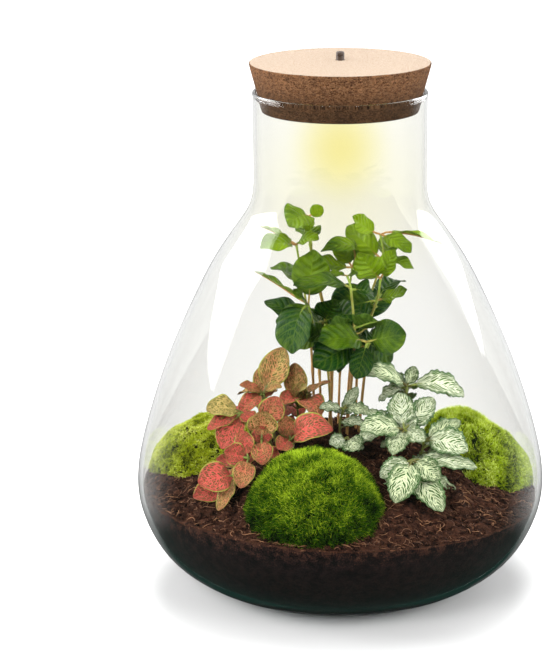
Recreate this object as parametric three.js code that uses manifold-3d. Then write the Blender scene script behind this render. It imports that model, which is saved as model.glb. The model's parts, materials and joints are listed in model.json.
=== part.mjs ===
// A planted glass terrarium: a belly-shaped bottle jar closed by a tapered cork stopper with a lamp inside it.
// In the jar: potting soil, three cushions of moss, nine coffee seedlings, red and white veined fittonia.
// Millimetres, +Z up. The origin is on the jar's axis in the plane that its foot stands on; the front is -Y.
import * as THREE from 'three';
import { mergeVertices } from 'three/addons/utils/BufferGeometryUtils.js';
import Module from 'manifold-3d';

const wasm = await Module();
wasm.setup();

// ---- driving dimensions -------------------------------------------------------------------------------------

const GAP = 0.3; // clearance between two pieces that touch on the real thing

// jar
const FOOT_RADIUS = 74; // outer edge of the flat foot
const FOOT_RING = 12; // width of the flat ring that it stands on
const PUSH_UP = 1.6; // hollow under the middle of the base
const NECK_RADIUS = 48.9;
const NECK_START = 232; // height where the neck is straight
const RIM_HEIGHT = 283.7;
const WALL_NECK = 2;
const WALL_BODY = 2.6;
const BASE_THICKNESS = 8;
const JAR_SIDES = 28;
// outer outline [radius, height], from the foot up to the straight neck
const JAR_OUTLINE = [
  [FOOT_RADIUS, 0], [88, 6.5], [102.4, 18], [112.3, 34], [117.6, 55], [113.6, 84],
  [98.1, 132], [76.2, 180], [61.1, 204], [52.5, 216], [49.6, 223], [NECK_RADIUS, NECK_START],
];

// soil, as heights above the ground
const SOIL_PEAK = 84;
const SOIL_EDGE = 53.5; // mean height at the glass
const SOIL_RINGS = [20, 42, 64, 84, 102, 120];
const SOIL_SIDES = 28;
const HOLE_DEPTH = 9;
const HOLE_SIDES = 6;

// cork stopper and its lamp
const CORK_BOTTOM = 273;
const CORK_HEIGHT = 27;
const CORK_RADIUS_BOTTOM = 44;
const CORK_RADIUS_TOP = 50.7;
const RECESS_RADIUS = 36.3;
const RECESS_DEPTH = 20;
const LAMP_WALL = 1.6;
const BUTTON_AT = [0, 6]; // the push button is a little behind the middle
const BUTTON_RADIUS = 2.35;
const BUTTON_RISE = 4.7; // above the cork
const BUTTON_TRAVEL = 1.5;
const CELL_RADIUS = 5.2; // three AAA cells round the light
const CELL_LENGTH = 44.5;
const CELL_OFFSET = 20.6;
const WINDOW_RADIUS = 15;

// blades
const BLADE = 0.7; // thickness
const PETIOLE = 0.55; // half width of a leaf stalk
const SMALL_LEAF = 9.5; // leaves narrower than this are flat across, with fewer steps along them
const LEAF_INSET = 0.3; // a leaf stalk starts this far from the middle of its stem
const LONG_SPAN = 14; // stems get a ring between points that are further apart

// ---- small helpers ------------------------------------------------------------------------------------------

const vec = (xyz) => new THREE.Vector3(...xyz);
const lerp = THREE.MathUtils.lerp;

function solid(geometry) {
  const bare = geometry.clone();
  bare.deleteAttribute('normal');
  bare.deleteAttribute('uv');
  const merged = mergeVertices(bare, 1e-4);
  return new wasm.Manifold(new wasm.Mesh({
    numProp: 3,
    vertProperties: new Float32Array(merged.attributes.position.array),
    triVerts: new Uint32Array(merged.index.array),
  }));
}

function geometry(manifold) {
  const { vertProperties, triVerts } = manifold.getMesh();
  const made = new THREE.BufferGeometry();
  made.setAttribute('position', new THREE.BufferAttribute(vertProperties, 3));
  made.setIndex(new THREE.BufferAttribute(triVerts, 1));
  made.computeVertexNormals();
  return made;
}

function fuse(geometries) {
  return geometries.map(solid).reduce((whole, piece) => whole.add(piece));
}

// A closed skin over rings of equally many points. Each ring runs clockwise seen along the way to the next one.
function skin(rings) {
  const n = rings[0].length;
  const index = [];
  for (let i = 0; i < rings.length - 1; i += 1) {
    for (let j = 0; j < n; j += 1) {
      const a = i * n + j;
      const b = i * n + ((j + 1) % n);
      index.push(a, b, b + n, a, b + n, a + n);
    }
  }
  const last = (rings.length - 1) * n;
  for (let j = 1; j < n - 1; j += 1) {
    index.push(0, j + 1, j);
    index.push(last, last + j, last + j + 1);
  }
  const made = new THREE.BufferGeometry();
  const points = rings.flat().flatMap((point) => point.toArray());
  made.setAttribute('position', new THREE.Float32BufferAttribute(points, 3));
  made.setIndex(index);
  return made;
}

// A body of revolution about +Z from an outline of [radius, height] points that starts and ends on the axis.
function turned(outline, sides) {
  const points = outline.map(([radius, height]) => new THREE.Vector2(radius, height));
  return new THREE.LatheGeometry(points, sides).rotateX(Math.PI / 2);
}

function rod(radius, bottom, top, sides = 12) {
  return turned([[0, bottom], [radius, bottom], [radius, top], [0, top]], sides);
}

// ---- jar ----------------------------------------------------------------------------------------------------

const outerWall = JAR_OUTLINE.map((point) => new THREE.Vector2(...point));

const offsetWall = outerWall
  .map((point, i) => {
    const before = outerWall[Math.max(i - 1, 0)];
    const after = outerWall[Math.min(i + 1, outerWall.length - 1)];
    const along = after.clone().sub(before).normalize();
    const wall = lerp(WALL_BODY, WALL_NECK, THREE.MathUtils.smoothstep(point.y, 150, NECK_START));
    return new THREE.Vector2(point.x - along.y * wall, point.y + along.x * wall);
  })
  .filter((point) => point.y > BASE_THICKNESS + 1);
const FLOOR_RADIUS = offsetWall[0].x - 1.3 * (offsetWall[0].y - BASE_THICKNESS);
const innerWall = [new THREE.Vector2(FLOOR_RADIUS, BASE_THICKNESS), ...offsetWall];

// inner radius of the faceted jar at a height
function innerRadius(height) {
  const above = Math.max(1, innerWall.findIndex((point) => point.y >= height));
  const [low, high] = [innerWall[above - 1], innerWall[above]];
  return lerp(low.x, high.x, (height - low.y) / (high.y - low.y));
}

// the room inside the glass, up to the shoulder, as far inside the wall as the inset
function roomGeometry(inset) {
  const wall = innerWall.filter((point) => point.y < 150);
  const side = wall.slice(1).map((point) => [point.x - inset, point.y]);
  const corner = [FLOOR_RADIUS - inset, BASE_THICKNESS + inset];
  return turned([[0, corner[1]], corner, ...side, [0, wall.at(-1).y]], JAR_SIDES);
}

function jarGeometry() {
  const neckInner = NECK_RADIUS - WALL_NECK;
  const foot = [[0, PUSH_UP], [FOOT_RADIUS - FOOT_RING - 4, PUSH_UP], [FOOT_RADIUS - FOOT_RING, 0]];
  const outer = outerWall.map((point) => point.toArray());
  const rim = [
    [NECK_RADIUS, RIM_HEIGHT - 0.7], [NECK_RADIUS - 0.6, RIM_HEIGHT],
    [neckInner + 0.5, RIM_HEIGHT], [neckInner, RIM_HEIGHT - 0.7],
  ];
  const inner = innerWall.map((point) => point.toArray()).reverse();
  return turned([...foot, ...outer, ...rim, ...inner, [0, BASE_THICKNESS]], JAR_SIDES);
}

// ---- soil ---------------------------------------------------------------------------------------------------

// a little higher at the front and left than at the right and back
function soilEdge(angle) {
  return SOIL_EDGE - 3.5 * Math.cos(angle) - 1.5 * Math.sin(angle);
}

function soilHeight(x, y) {
  const edge = soilEdge(Math.atan2(y, x));
  const inward = Math.max(0, 1 - (Math.hypot(x, y) / innerRadius(edge)) ** 2);
  const lumps = 1.1 * Math.sin(x / 7 + 1) * Math.sin(y / 6) + 0.7 * Math.sin(x / 3.7 + y / 5.1);
  return edge + (SOIL_PEAK - edge) * inward ** 1.8 + lumps * Math.min(1, 4 * inward);
}

// A closed body from rings of points round a first and a last point, with the rings running upwards.
function capped(bottom, rings, top) {
  const n = rings[0].length;
  const points = [bottom, ...rings.flat(), top];
  const index = [];
  for (let j = 0; j < n; j += 1) {
    const next = (j + 1) % n;
    index.push(0, 1 + next, 1 + j);
    for (let i = 0; i < rings.length - 1; i += 1) {
      const low = 1 + i * n;
      const high = low + n;
      index.push(low + j, low + next, high + next, low + j, high + next, high + j);
    }
    index.push(points.length - 1 - n + j, points.length - 1 - n + next, points.length - 1);
  }
  const made = new THREE.BufferGeometry();
  made.setAttribute('position', new THREE.Float32BufferAttribute(points.flatMap((p) => p.toArray()), 3));
  made.setIndex(index);
  return made;
}

// a block of ground with the soil's surface on top, wider than the jar, cut to the jar's room later
function groundGeometry(raise = 0) {
  const angles = Array.from({ length: SOIL_SIDES }, (_, i) => (i * 2 * Math.PI) / SOIL_SIDES);
  const surface = (x, y) => vec([x, y, soilHeight(x, y) + raise]);
  const rim = SOIL_RINGS.at(-1);
  const foot = angles.map((angle) => vec([rim * Math.cos(angle), rim * Math.sin(angle), 0]));
  const rings = [...SOIL_RINGS].reverse()
    .map((radius) => angles.map((angle) => surface(radius * Math.cos(angle), radius * Math.sin(angle))));
  return capped(vec([0, 0, 0]), [foot, ...rings], surface(0, 0));
}

// ---- moss ---------------------------------------------------------------------------------------------------

// each cushion is a half ellipsoid sunk into the soil: middle [x, y], height of its rim, radii, height of its
// crown above the rim, how far the crown leans to +X, and the depth of its lumps
const MOSS = [
  { name: 'moss_front', middle: [-14, -72], base: 52, radii: [40.5, 41], crown: 45, lean: 0, lump: 1 },
  { name: 'moss_left', middle: [-76, 22], base: 50, radii: [40, 42], crown: 37, lean: 8, lump: 1.7 },
  { name: 'moss_right', middle: [82, 18], base: 40, radii: [36, 42], crown: 52, lean: -16, lump: 1.3 },
];
const MOSS_SIDES = 24;
const MOSS_STEPS = [1, 0.96, 0.86, 0.7, 0.48, 0.24];

function mossGeometry({ middle: [mx, my], base, radii: [rx, ry], crown, lean, lump }) {
  const angles = Array.from({ length: MOSS_SIDES }, (_, i) => (i * 2 * Math.PI) / MOSS_SIDES);
  const place = (reach, angle) => {
    const x = mx + lean * (1 - reach ** 2) + rx * reach * Math.cos(angle);
    const y = my + ry * reach * Math.sin(angle);
    const relief = lump * Math.sin(x / 5.2 + my) * Math.cos(y / 4.6) + 0.4 * lump * Math.sin((x - y) / 2.9);
    return vec([x, y, base + crown * Math.sqrt(1 - reach ** 2) + relief * (1 - reach ** 4)]);
  };
  const rings = MOSS_STEPS.map((reach) => angles.map((angle) => place(reach, angle)));
  return capped(vec([mx, my, base]), rings, place(0, 0));
}

// ---- stems and leaves ---------------------------------------------------------------------------------------

// shape of a blade: where it is widest, how full it is, the dish across it and the waves along its edges
const KINDS = {
  coffee: { widest: 0.95, full: 0.7, fold: 0.2, wave: 0.5, waves: 2.5, steps: 4 },
  red: { widest: 0.86, full: 0.6, fold: 0.16, wave: 0.4, waves: 2, steps: 4 },
  white: { widest: 0.86, full: 0.62, fold: 0.14, wave: 0.7, waves: 3, steps: 4 },
};

// A leaf from its base on the stem to its tip. "face" is the way its upper side looks, "rise" lifts its middle
// that way, "peak" is where along it the lift is highest, and "stalk" is the part of its length without blade.
function leafGeometry(node, { tip, width, face, rise = 0, peak = 0.5, stalk = 0.14 }, kind) {
  const along = vec(tip).sub(node).normalize();
  const base = node.clone().addScaledVector(along, LEAF_INSET);
  const chord = vec(tip).sub(base);
  const up = vec(face).addScaledVector(along, -vec(face).dot(along)).normalize();
  const side = along.clone().cross(up);
  const power = Math.log(0.5) / Math.log(peak);
  const lift = (t) => rise * 4 * t ** power * (1 - t ** power);
  const spine = (t) => base.clone().addScaledVector(chord, t).addScaledVector(up, lift(t));
  const phase = tip[0] + tip[2];

  const steps = width < SMALL_LEAF ? 3 : kind.steps;
  const blade = Array.from({ length: steps + 1 }, (_, i) => stalk + ((1 - stalk) * i) / steps);
  const rings = [0, ...blade].map((t) => {
    const u = Math.max(0, (t - stalk) / (1 - stalk));
    const half = Math.max(PETIOLE, (width / 2) * Math.sin(Math.PI * u ** kind.widest) ** kind.full || 0);
    const forward = spine(Math.min(1, t + 0.02)).sub(spine(Math.max(0, t - 0.02))).normalize();
    const normal = side.clone().cross(forward);
    const thick = (u > 0 ? BLADE : 2 * PETIOLE) / 2;
    const flutter = kind.wave * Math.min(1, half / 4);
    const across = (way) => {
      const wave = flutter * Math.sin(2 * Math.PI * kind.waves * u + phase + way);
      return spine(t).addScaledVector(side, way * half)
        .addScaledVector(normal, Math.abs(way) * (kind.fold * half + wave));
    };
    const line = (width < SMALL_LEAF ? [-1, 1] : [-1, 0, 1]).map(across);
    return [
      ...line.map((p) => p.clone().addScaledVector(normal, thick)),
      ...line.reverse().map((p) => p.clone().addScaledVector(normal, -thick)),
    ];
  });
  return skin(rings);
}

// A tapered stem through its points, with a ring at each point and one between points that lie far apart.
function stemGeometry(points, radius, taper, sides) {
  const curve = new THREE.CatmullRomCurve3(points, false, 'centripetal');
  const spans = points.length - 1;
  const stops = points.flatMap((point, i) => (
    i < spans && point.distanceTo(points[i + 1]) > LONG_SPAN ? [i, i + 0.5] : [i]
  ));
  let across = vec([0, 1, 0.01]);
  return skin(stops.map((stop) => {
    const t = stop / spans;
    const along = curve.getTangent(t);
    across = across.addScaledVector(along, -across.dot(along)).normalize();
    const side = along.clone().cross(across);
    const r = radius * lerp(1, taper, t);
    return Array.from({ length: sides }, (_, k) => {
      const angle = (2 * Math.PI * k) / sides;
      return curve.getPoint(t).addScaledVector(side, r * Math.cos(angle))
        .addScaledVector(across, -r * Math.sin(angle));
    });
  }));
}

// Every shoot: "foot" is where it enters the soil, "stem" the points it passes, "girth" its radius, and each
// leaf grows at one of those points ("node", counted from 0).
const FRONT = [0, -1, 0.25];
const UP = [0, 0, 1];
const TILTED = [0, -0.6, 1]; // up and towards the front

const COFFEE = [
  {
    foot: [-6, 11], girth: 1.2, stem: [[-5, 9, 119], [-8, 9, 148], [-15, 10, 180], [-17, 9, 193], [-18, 8, 210]],
    leaves: [
      { node: 4, tip: [-29, -2, 206], width: 17, face: [-0.4, -1, 0.6], rise: 5 },
      { node: 4, tip: [-10, 12, 215], width: 7, face: FRONT },
      { node: 4, tip: [-19, 0, 203], width: 7, face: FRONT, rise: 1 },
      { node: 3, tip: [-20, 32, 197], width: 13, face: UP, rise: 3 },
      { node: 1, tip: [-13, 18, 124], width: 11, face: [-0.3, -1, 0], rise: -2 },
    ],
  },
  {
    foot: [-15, 9], girth: 0.9, stem: [[-16, 8, 119], [-18, 8, 145], [-21, 8, 168], [-25, 4, 194]],
    leaves: [
      { node: 3, tip: [-45, -8, 195], width: 13, face: TILTED, rise: 3 },
      { node: 3, tip: [-46, 9, 204], width: 9, face: [0, 0.2, 1], rise: 1 },
      { node: 3, tip: [-12, -4, 199], width: 10, face: TILTED, rise: 3 },
      { node: 2, tip: [-40, 22, 176], width: 15, face: UP, rise: 4 },
      { node: 2, tip: [-12, 30, 172], width: 13, face: UP, rise: 3 },
      { node: 1, tip: [-44, 14, 158], width: 12, face: TILTED, rise: 3 },
    ],
  },
  {
    foot: [-11, 2], girth: 0.9, stem: [[-12, 3, 119], [-14, -3, 142], [-18, -12, 163]],
    leaves: [
      { node: 2, tip: [-15, -15, 196], width: 19, face: [0, -1, 0.1], rise: -2, stalk: 0.16 },
      { node: 2, tip: [-27, -25, 174], width: 9, face: [-0.4, -1, 1], rise: 1 },
      { node: 2, tip: [-49, -4, 181], width: 10, face: [0, 0.25, 1], rise: 1 },
      { node: 1, tip: [-33, -14, 161], width: 13, face: [-0.2, -1, 0.6], rise: 2 },
      { node: 2, tip: [-27, -28, 139], width: 20, face: [-0.6, -1, 0.4], rise: 6, peak: 0.4 },
    ],
  },
  {
    foot: [-1, 14], girth: 0.85, stem: [[0, 13, 118], [3, 12, 150], [7, 10, 179]],
    leaves: [
      { node: 2, tip: [-11, -4, 192], width: 11, face: [0.1, -0.5, 1], rise: 12, peak: 0.45 },
      { node: 2, tip: [-3, 18, 195], width: 10, face: [0.1, -1, 0.3], rise: -1 },
      { node: 2, tip: [-15, 2, 186], width: 10, face: TILTED, rise: -1 },
      { node: 2, tip: [16, 36, 190], width: 13, face: UP, rise: 4 },
      { node: 1, tip: [4, -1, 129], width: 15, face: [0.2, -1, 0.3], rise: 4 },
      { node: 1, tip: [-1, 5, 118], width: 10, face: FRONT, rise: 1 },
      { node: 1, tip: [4, 36, 144], width: 15, face: UP, rise: 4 },
      { node: 1, tip: [31, 27, 159], width: 14, face: [0.2, -1, 0.5], rise: 0 },
    ],
  },
  {
    foot: [4, -3], girth: 0.9, stem: [[7, -6, 123], [8, -13, 140], [8, -18, 151], [6, -16, 173], [4, -16, 181]],
    leaves: [
      { node: 2, tip: [-8, -25, 154], width: 12, face: [0.2, 1, 0.6], rise: 1 },
      { node: 2, tip: [21, -31, 159], width: 17, face: [-0.2, 1, 0.7], rise: 1 },
      { node: 3, tip: [-26, -33, 180], width: 10, face: TILTED, rise: 5, peak: 0.4 },
      { node: 3, tip: [19, -11, 167], width: 12, face: TILTED, rise: 3 },
      { node: 4, tip: [-7, -19, 183], width: 4, face: TILTED, rise: 1 },
      { node: 4, tip: [10, -20, 183], width: 4, face: TILTED, rise: 1 },
    ],
  },
  {
    foot: [9, 9], girth: 0.95, stem: [[10, 8, 119], [14, 6, 140], [21, 2, 162], [23, 0, 175]],
    leaves: [
      { node: 2, tip: [38, -4, 170], width: 9, face: TILTED, rise: -1 },
      { node: 2, tip: [-6, -1, 156], width: 22, face: [-0.1, -1, 0.5], rise: 3 },
      { node: 2, tip: [36, 26, 167], width: 14, face: UP, rise: 4 },
      { node: 3, tip: [10, -18, 195], width: 15, face: [-0.3, -1, 0.4], rise: 2 },
      { node: 3, tip: [31, -7, 194], width: 9.6, face: [-0.4, -1, 0.2], rise: 1 },
    ],
  },
  {
    foot: [4, 20], girth: 0.85, stem: [[6, 17, 118], [14, 13, 152], [24, 8, 184], [23, 8, 199]],
    leaves: [
      { node: 3, tip: [7, 0, 212], width: 10, face: [0.2, -1, 0.6], rise: -3, peak: 0.35 },
      { node: 3, tip: [63, 6, 192], width: 9, face: [0, 0.1, 1], rise: 4, peak: 0.4 },
      { node: 3, tip: [40, -6, 192], width: 10, face: TILTED, rise: 2 },
      { node: 2, tip: [42, 4, 180], width: 7, face: TILTED, rise: 3 },
      { node: 2, tip: [4, 20, 201], width: 13, face: [-0.3, -1, 0.6], rise: 3 },
      { node: 2, tip: [34, 34, 188], width: 13, face: UP, rise: 4 },
    ],
  },
  {
    foot: [11, 0], girth: 0.95, stem: [[14, -8, 122], [15, -15, 134], [15, -21, 144]],
    leaves: [
      { node: 2, tip: [37, -23, 149], width: 17, face: [0.1, -1, 0.5], rise: 3 },
      { node: 2, tip: [30, -6, 129], width: 17, face: [0.3, -1, 0.2], rise: -1 },
      { node: 2, tip: [9, -27, 124], width: 12, face: [0.1, -1, 0.3], rise: 1 },
    ],
  },
  {
    foot: [-5, 3], girth: 0.85, stem: [[-7, 3, 120], [-9, 2, 149]],
    leaves: [
      { node: 1, tip: [-37, 0, 150], width: 17, face: [-0.2, -1, 0.5], rise: 3 },
      { node: 1, tip: [-25, 4, 133], width: 10, face: [-0.3, -1, 0.1], rise: 0 },
      { node: 1, tip: [-3, -11, 166], width: 15, face: FRONT, rise: 1 },
      { node: 1, tip: [-3, -9, 129], width: 16, face: FRONT, rise: 3 },
    ],
  },
];

const RED = [
  {
    foot: [-38, -2], stem: [[-40, -6, 96], [-44, -12, 111]],
    leaves: [
      { node: 1, tip: [-32, -8, 137], width: 14, face: [-0.2, -1, 0.2], rise: -1 },
      { node: 1, tip: [-33, -20, 117], width: 6, face: TILTED, rise: 2 },
      { node: 1, tip: [-57, -19, 118], width: 7, face: TILTED, rise: 1 },
      { node: 1, tip: [-59, -8, 109], width: 8, face: UP, rise: 2 },
      { node: 1, tip: [-57, -23, 103], width: 9, face: [-0.5, -1, 0.5], rise: 2 },
      { node: 0, tip: [-32, -22, 103], width: 9, face: TILTED, rise: 2 },
      { node: 0, tip: [-52, 8, 100], width: 10, face: UP, rise: 2 },
    ],
  },
  {
    foot: [-24, -3], stem: [[-24, -6, 92], [-25, -10, 105]],
    leaves: [
      { node: 1, tip: [-26, -5, 127], width: 11, face: FRONT, rise: 0 },
      { node: 1, tip: [-34, -23, 107], width: 9, face: TILTED, rise: 5 },
      { node: 1, tip: [-19, -21, 117], width: 9, face: TILTED, rise: 2 },
      { node: 1, tip: [-13, -22, 99], width: 15, face: [0.3, -0.3, 1], rise: 6 },
      { node: 0, tip: [-33, -24, 93], width: 9, face: FRONT, rise: 1 },
      { node: 1, tip: [-5, -6, 116], width: 7, face: UP, rise: 2 },
      { node: 0, tip: [-28, 12, 98], width: 10, face: UP, rise: 2 },
    ],
  },
  {
    foot: [-48, -14], stem: [[-52, -22, 94], [-56, -28, 105]],
    leaves: [
      { node: 1, tip: [-75, -34, 108], width: 13, face: TILTED, rise: 3 },
      { node: 1, tip: [-74, -42, 99], width: 8, face: TILTED, rise: 1 },
      { node: 1, tip: [-48, -37, 101], width: 8, face: TILTED, rise: 1 },
      { node: 1, tip: [-66, -46, 89], width: 13, face: [-0.2, -1, 0.5], rise: 2 },
      { node: 0, tip: [-64, -10, 98], width: 9, face: UP, rise: 2 },
    ],
  },
  {
    foot: [-38, -24], stem: [[-43, -31, 98], [-44, -42, 93]],
    leaves: [
      { node: 0, tip: [-35, -28, 114], width: 12, face: FRONT, rise: 1 },
      { node: 1, tip: [-43, -42, 110], width: 14, face: [0, -1, 0.1], rise: -1 },
      { node: 1, tip: [-43, -56, 83], width: 10, face: [0, -1, 0.8], rise: 2 },
    ],
  },
  {
    foot: [-51, -40], stem: [[-51, -46, 78], [-51, -53, 86]],
    leaves: [
      { node: 1, tip: [-64, -59, 92], width: 11, face: [0, -1, 0.5], rise: -1 },
      { node: 1, tip: [-55, -66, 73], width: 10, face: [0, -1, 0.7], rise: 2 },
      { node: 1, tip: [-69, -50, 84], width: 7, face: FRONT, rise: 0 },
      { node: 1, tip: [-55, -48, 101], width: 9, face: FRONT, rise: 0 },
    ],
  },
  {
    foot: [-60, -44], stem: [[-60, -50, 70], [-58, -56, 77]],
    leaves: [
      { node: 1, tip: [-78, -66, 76], width: 15, face: [-0.1, -1, 0.8], rise: 2 },
      { node: 0, tip: [-81, -62, 66], width: 12, face: [-0.1, -1, 0.8], rise: 1 },
      { node: 1, tip: [-67, -72, 62], width: 7, face: [-0.4, -1, 0.6], rise: 0 },
      { node: 0, tip: [-74, -44, 76], width: 7, face: UP, rise: 1 },
    ],
  },
  {
    foot: [-28, -22], stem: [[-28, -28, 84], [-28, -33, 90]],
    leaves: [
      { node: 1, tip: [-4, -38, 98], width: 14, face: [-0.2, -1, 1], rise: 9, peak: 0.55 },
      { node: 1, tip: [-32, -31, 104], width: 9, face: FRONT, rise: 0 },
      { node: 1, tip: [-35, -44, 88], width: 9, face: [0, -1, 0.8], rise: 1 },
      { node: 0, tip: [-14, -20, 92], width: 7, face: UP, rise: 2 },
    ],
  },
];

const WHITE = [
  {
    foot: [36, -4], stem: [[37, -7, 95], [38, -12, 115]],
    leaves: [
      { node: 1, tip: [12, -24, 127], width: 13, face: TILTED, rise: 5 },
      { node: 1, tip: [43, -5, 125], width: 7, face: FRONT, rise: 0 },
      { node: 1, tip: [71, -8, 108], width: 14, face: [0, -0.7, 1], rise: 8 },
      { node: 1, tip: [22, -3, 104], width: 10, face: TILTED, rise: 2 },
      { node: 1, tip: [64, 6, 103], width: 9, face: UP, rise: 4 },
    ],
  },
  {
    foot: [31, -22], stem: [[33, -28, 88], [36, -36, 97]],
    leaves: [
      { node: 1, tip: [33, -29, 117], width: 14, face: FRONT, rise: -1 },
      { node: 1, tip: [11, -47, 101], width: 15, face: TILTED, rise: 3 },
      { node: 1, tip: [29, -53, 88], width: 11, face: [-0.2, -1, 0.8], rise: 2 },
      { node: 1, tip: [53, -24, 112], width: 12, face: FRONT, rise: 0 },
      { node: 0, tip: [15, -30, 106], width: 12, face: TILTED, rise: 2 },
      { node: 1, tip: [47, -50, 95], width: 9, face: [0, -1, 0.8], rise: 1 },
    ],
  },
  {
    foot: [44, -26], stem: [[46, -32, 82], [47, -38, 91]],
    leaves: [
      { node: 1, tip: [71, -47, 88], width: 17, face: TILTED, rise: 4 },
      { node: 1, tip: [68, -26, 99], width: 11, face: TILTED, rise: 1 },
      { node: 0, tip: [68, -34, 80], width: 10, face: TILTED, rise: 2 },
    ],
  },
  {
    foot: [38, -38], stem: [[39, -43, 76], [40, -50, 84]],
    leaves: [
      { node: 1, tip: [30, -76, 68], width: 15, face: [0, -1, 0.9], rise: 3 },
      { node: 0, tip: [56, -76, 63], width: 14, face: [0, -1, 1], rise: 3 },
      { node: 1, tip: [55, -60, 76], width: 12, face: [0, -1, 0.8], rise: 2 },
      { node: 1, tip: [22, -62, 78], width: 11, face: [0, -1, 0.8], rise: 2 },
      { node: 1, tip: [76, -52, 80], width: 10, face: TILTED, rise: 3 },
    ],
  },
  {
    foot: [0, -10], stem: [[0, -12, 94], [2, -15, 103]],
    leaves: [
      { node: 1, tip: [-12, -21, 105], width: 7, face: TILTED, rise: 1 },
      { node: 1, tip: [10, -16, 116], width: 6, face: FRONT, rise: 0 },
      { node: 1, tip: [17, -22, 102], width: 8, face: TILTED, rise: 2 },
      { node: 0, tip: [13, -28, 97], width: 8, face: TILTED, rise: 2 },
    ],
  },
  {
    foot: [8, -26], stem: [[6, -31, 88], [4, -38, 93]],
    leaves: [
      { node: 1, tip: [10, -50, 90], width: 11, face: [0, -1, 0.6], rise: 0 },
      { node: 1, tip: [-6, -46, 92], width: 8, face: [0, -1, 0.6], rise: 0 },
      { node: 0, tip: [22, -36, 94], width: 8, face: TILTED, rise: 1 },
    ],
  },
];

// the ends of a stem: straight down in its hole, then the points it passes
function stemPoints({ foot: [x, y], stem }) {
  const ground = soilHeight(x, y);
  return [[x, y, ground - HOLE_DEPTH + 1], [x, y, ground - 1.5], [x, y, ground + 2.5], ...stem].map(vec);
}

function shootGeometry(shoot, kind, girth, sides) {
  const stem = stemGeometry(stemPoints(shoot), girth, 0.75, sides);
  const leaves = shoot.leaves.map((leaf) => leafGeometry(vec(shoot.stem[leaf.node]), leaf, kind));
  return geometry(fuse([stem, ...leaves]));
}

function stemHole({ foot: [x, y] }, girth) {
  const ground = soilHeight(x, y);
  const radius = (girth + GAP + 0.1) / Math.cos(Math.PI / HOLE_SIDES);
  return rod(radius, ground - HOLE_DEPTH, ground + 6, HOLE_SIDES).translate(x, y, 0);
}

// ---- cork stopper and lamp ----------------------------------------------------------------------------------

const CORK_TOP = CORK_BOTTOM + CORK_HEIGHT;
const HOUSING_TOP = CORK_BOTTOM + RECESS_DEPTH - GAP;
const HOUSING_BOTTOM = CORK_BOTTOM + 1.2;
const HOUSING_RADIUS = RECESS_RADIUS - GAP;
const COVER_TOP = HOUSING_BOTTOM + 1.9;
const BOARD_TOP = HOUSING_TOP - LAMP_WALL - 4.5;
const BOARD_THICKNESS = 1.6;
const SWITCH_HEIGHT = 2.5;
const COLLAR_RADIUS = 3.4;
const COLLAR_HEIGHT = 1.1;

function corkGeometry() {
  const ceiling = CORK_BOTTOM + RECESS_DEPTH;
  const outline = [
    [0, ceiling], [RECESS_RADIUS, ceiling], [RECESS_RADIUS, CORK_BOTTOM],
    [CORK_RADIUS_BOTTOM - 0.8, CORK_BOTTOM], [CORK_RADIUS_BOTTOM, CORK_BOTTOM + 0.8],
    [CORK_RADIUS_TOP, CORK_TOP - 0.9], [CORK_RADIUS_TOP - 0.9, CORK_TOP], [0, CORK_TOP],
  ];
  const hole = rod(BUTTON_RADIUS + GAP, ceiling - 1, CORK_TOP + 1).translate(...BUTTON_AT, 0);
  return geometry(solid(turned(outline, JAR_SIDES)).subtract(solid(hole)));
}

function housingGeometry() {
  const ceiling = HOUSING_TOP - LAMP_WALL;
  const outline = [
    [0, ceiling], [HOUSING_RADIUS - LAMP_WALL, ceiling], [HOUSING_RADIUS - LAMP_WALL, HOUSING_BOTTOM],
    [HOUSING_RADIUS, HOUSING_BOTTOM], [HOUSING_RADIUS, HOUSING_TOP], [0, HOUSING_TOP],
  ];
  const shell = solid(turned(outline, 24));
  const hole = rod(COLLAR_RADIUS + GAP, ceiling - 1, HOUSING_TOP + 1).translate(...BUTTON_AT, 0);
  const posts = [90, 210, 330].map((degrees) => {
    const angle = THREE.MathUtils.degToRad(degrees);
    return rod(1.6, BOARD_TOP + GAP, ceiling + 0.5, 6).translate(12 * Math.cos(angle), 12 * Math.sin(angle), 0);
  });
  return geometry(posts.map(solid).reduce((whole, post) => whole.add(post), shell).subtract(solid(hole)));
}

function coverGeometry() {
  const radius = HOUSING_RADIUS - LAMP_WALL - GAP;
  const window = rod(WINDOW_RADIUS, HOUSING_BOTTOM - 1, COVER_TOP + 1, 20);
  return geometry(solid(rod(radius, HOUSING_BOTTOM, COVER_TOP, 24)).subtract(solid(window)));
}

function diffuserGeometry() {
  const lens = WINDOW_RADIUS - GAP;
  const flange = COVER_TOP + GAP;
  return turned([
    [0, HOUSING_BOTTOM - 0.6], [lens * 0.6, HOUSING_BOTTOM - 0.3], [lens, HOUSING_BOTTOM + 0.6],
    [lens, flange], [lens + 2, flange], [lens + 2, flange + 1], [0, flange + 1],
  ], 16);
}

function buttonGeometry() {
  const bottom = BOARD_TOP + GAP + SWITCH_HEIGHT + GAP + BUTTON_TRAVEL;
  const top = CORK_TOP + BUTTON_RISE;
  return turned([
    [0, bottom], [COLLAR_RADIUS, bottom], [COLLAR_RADIUS, bottom + COLLAR_HEIGHT],
    [BUTTON_RADIUS, bottom + COLLAR_HEIGHT], [BUTTON_RADIUS, top - 0.5], [BUTTON_RADIUS - 0.4, top], [0, top],
  ], 12);
}

// ---- materials ----------------------------------------------------------------------------------------------

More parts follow.
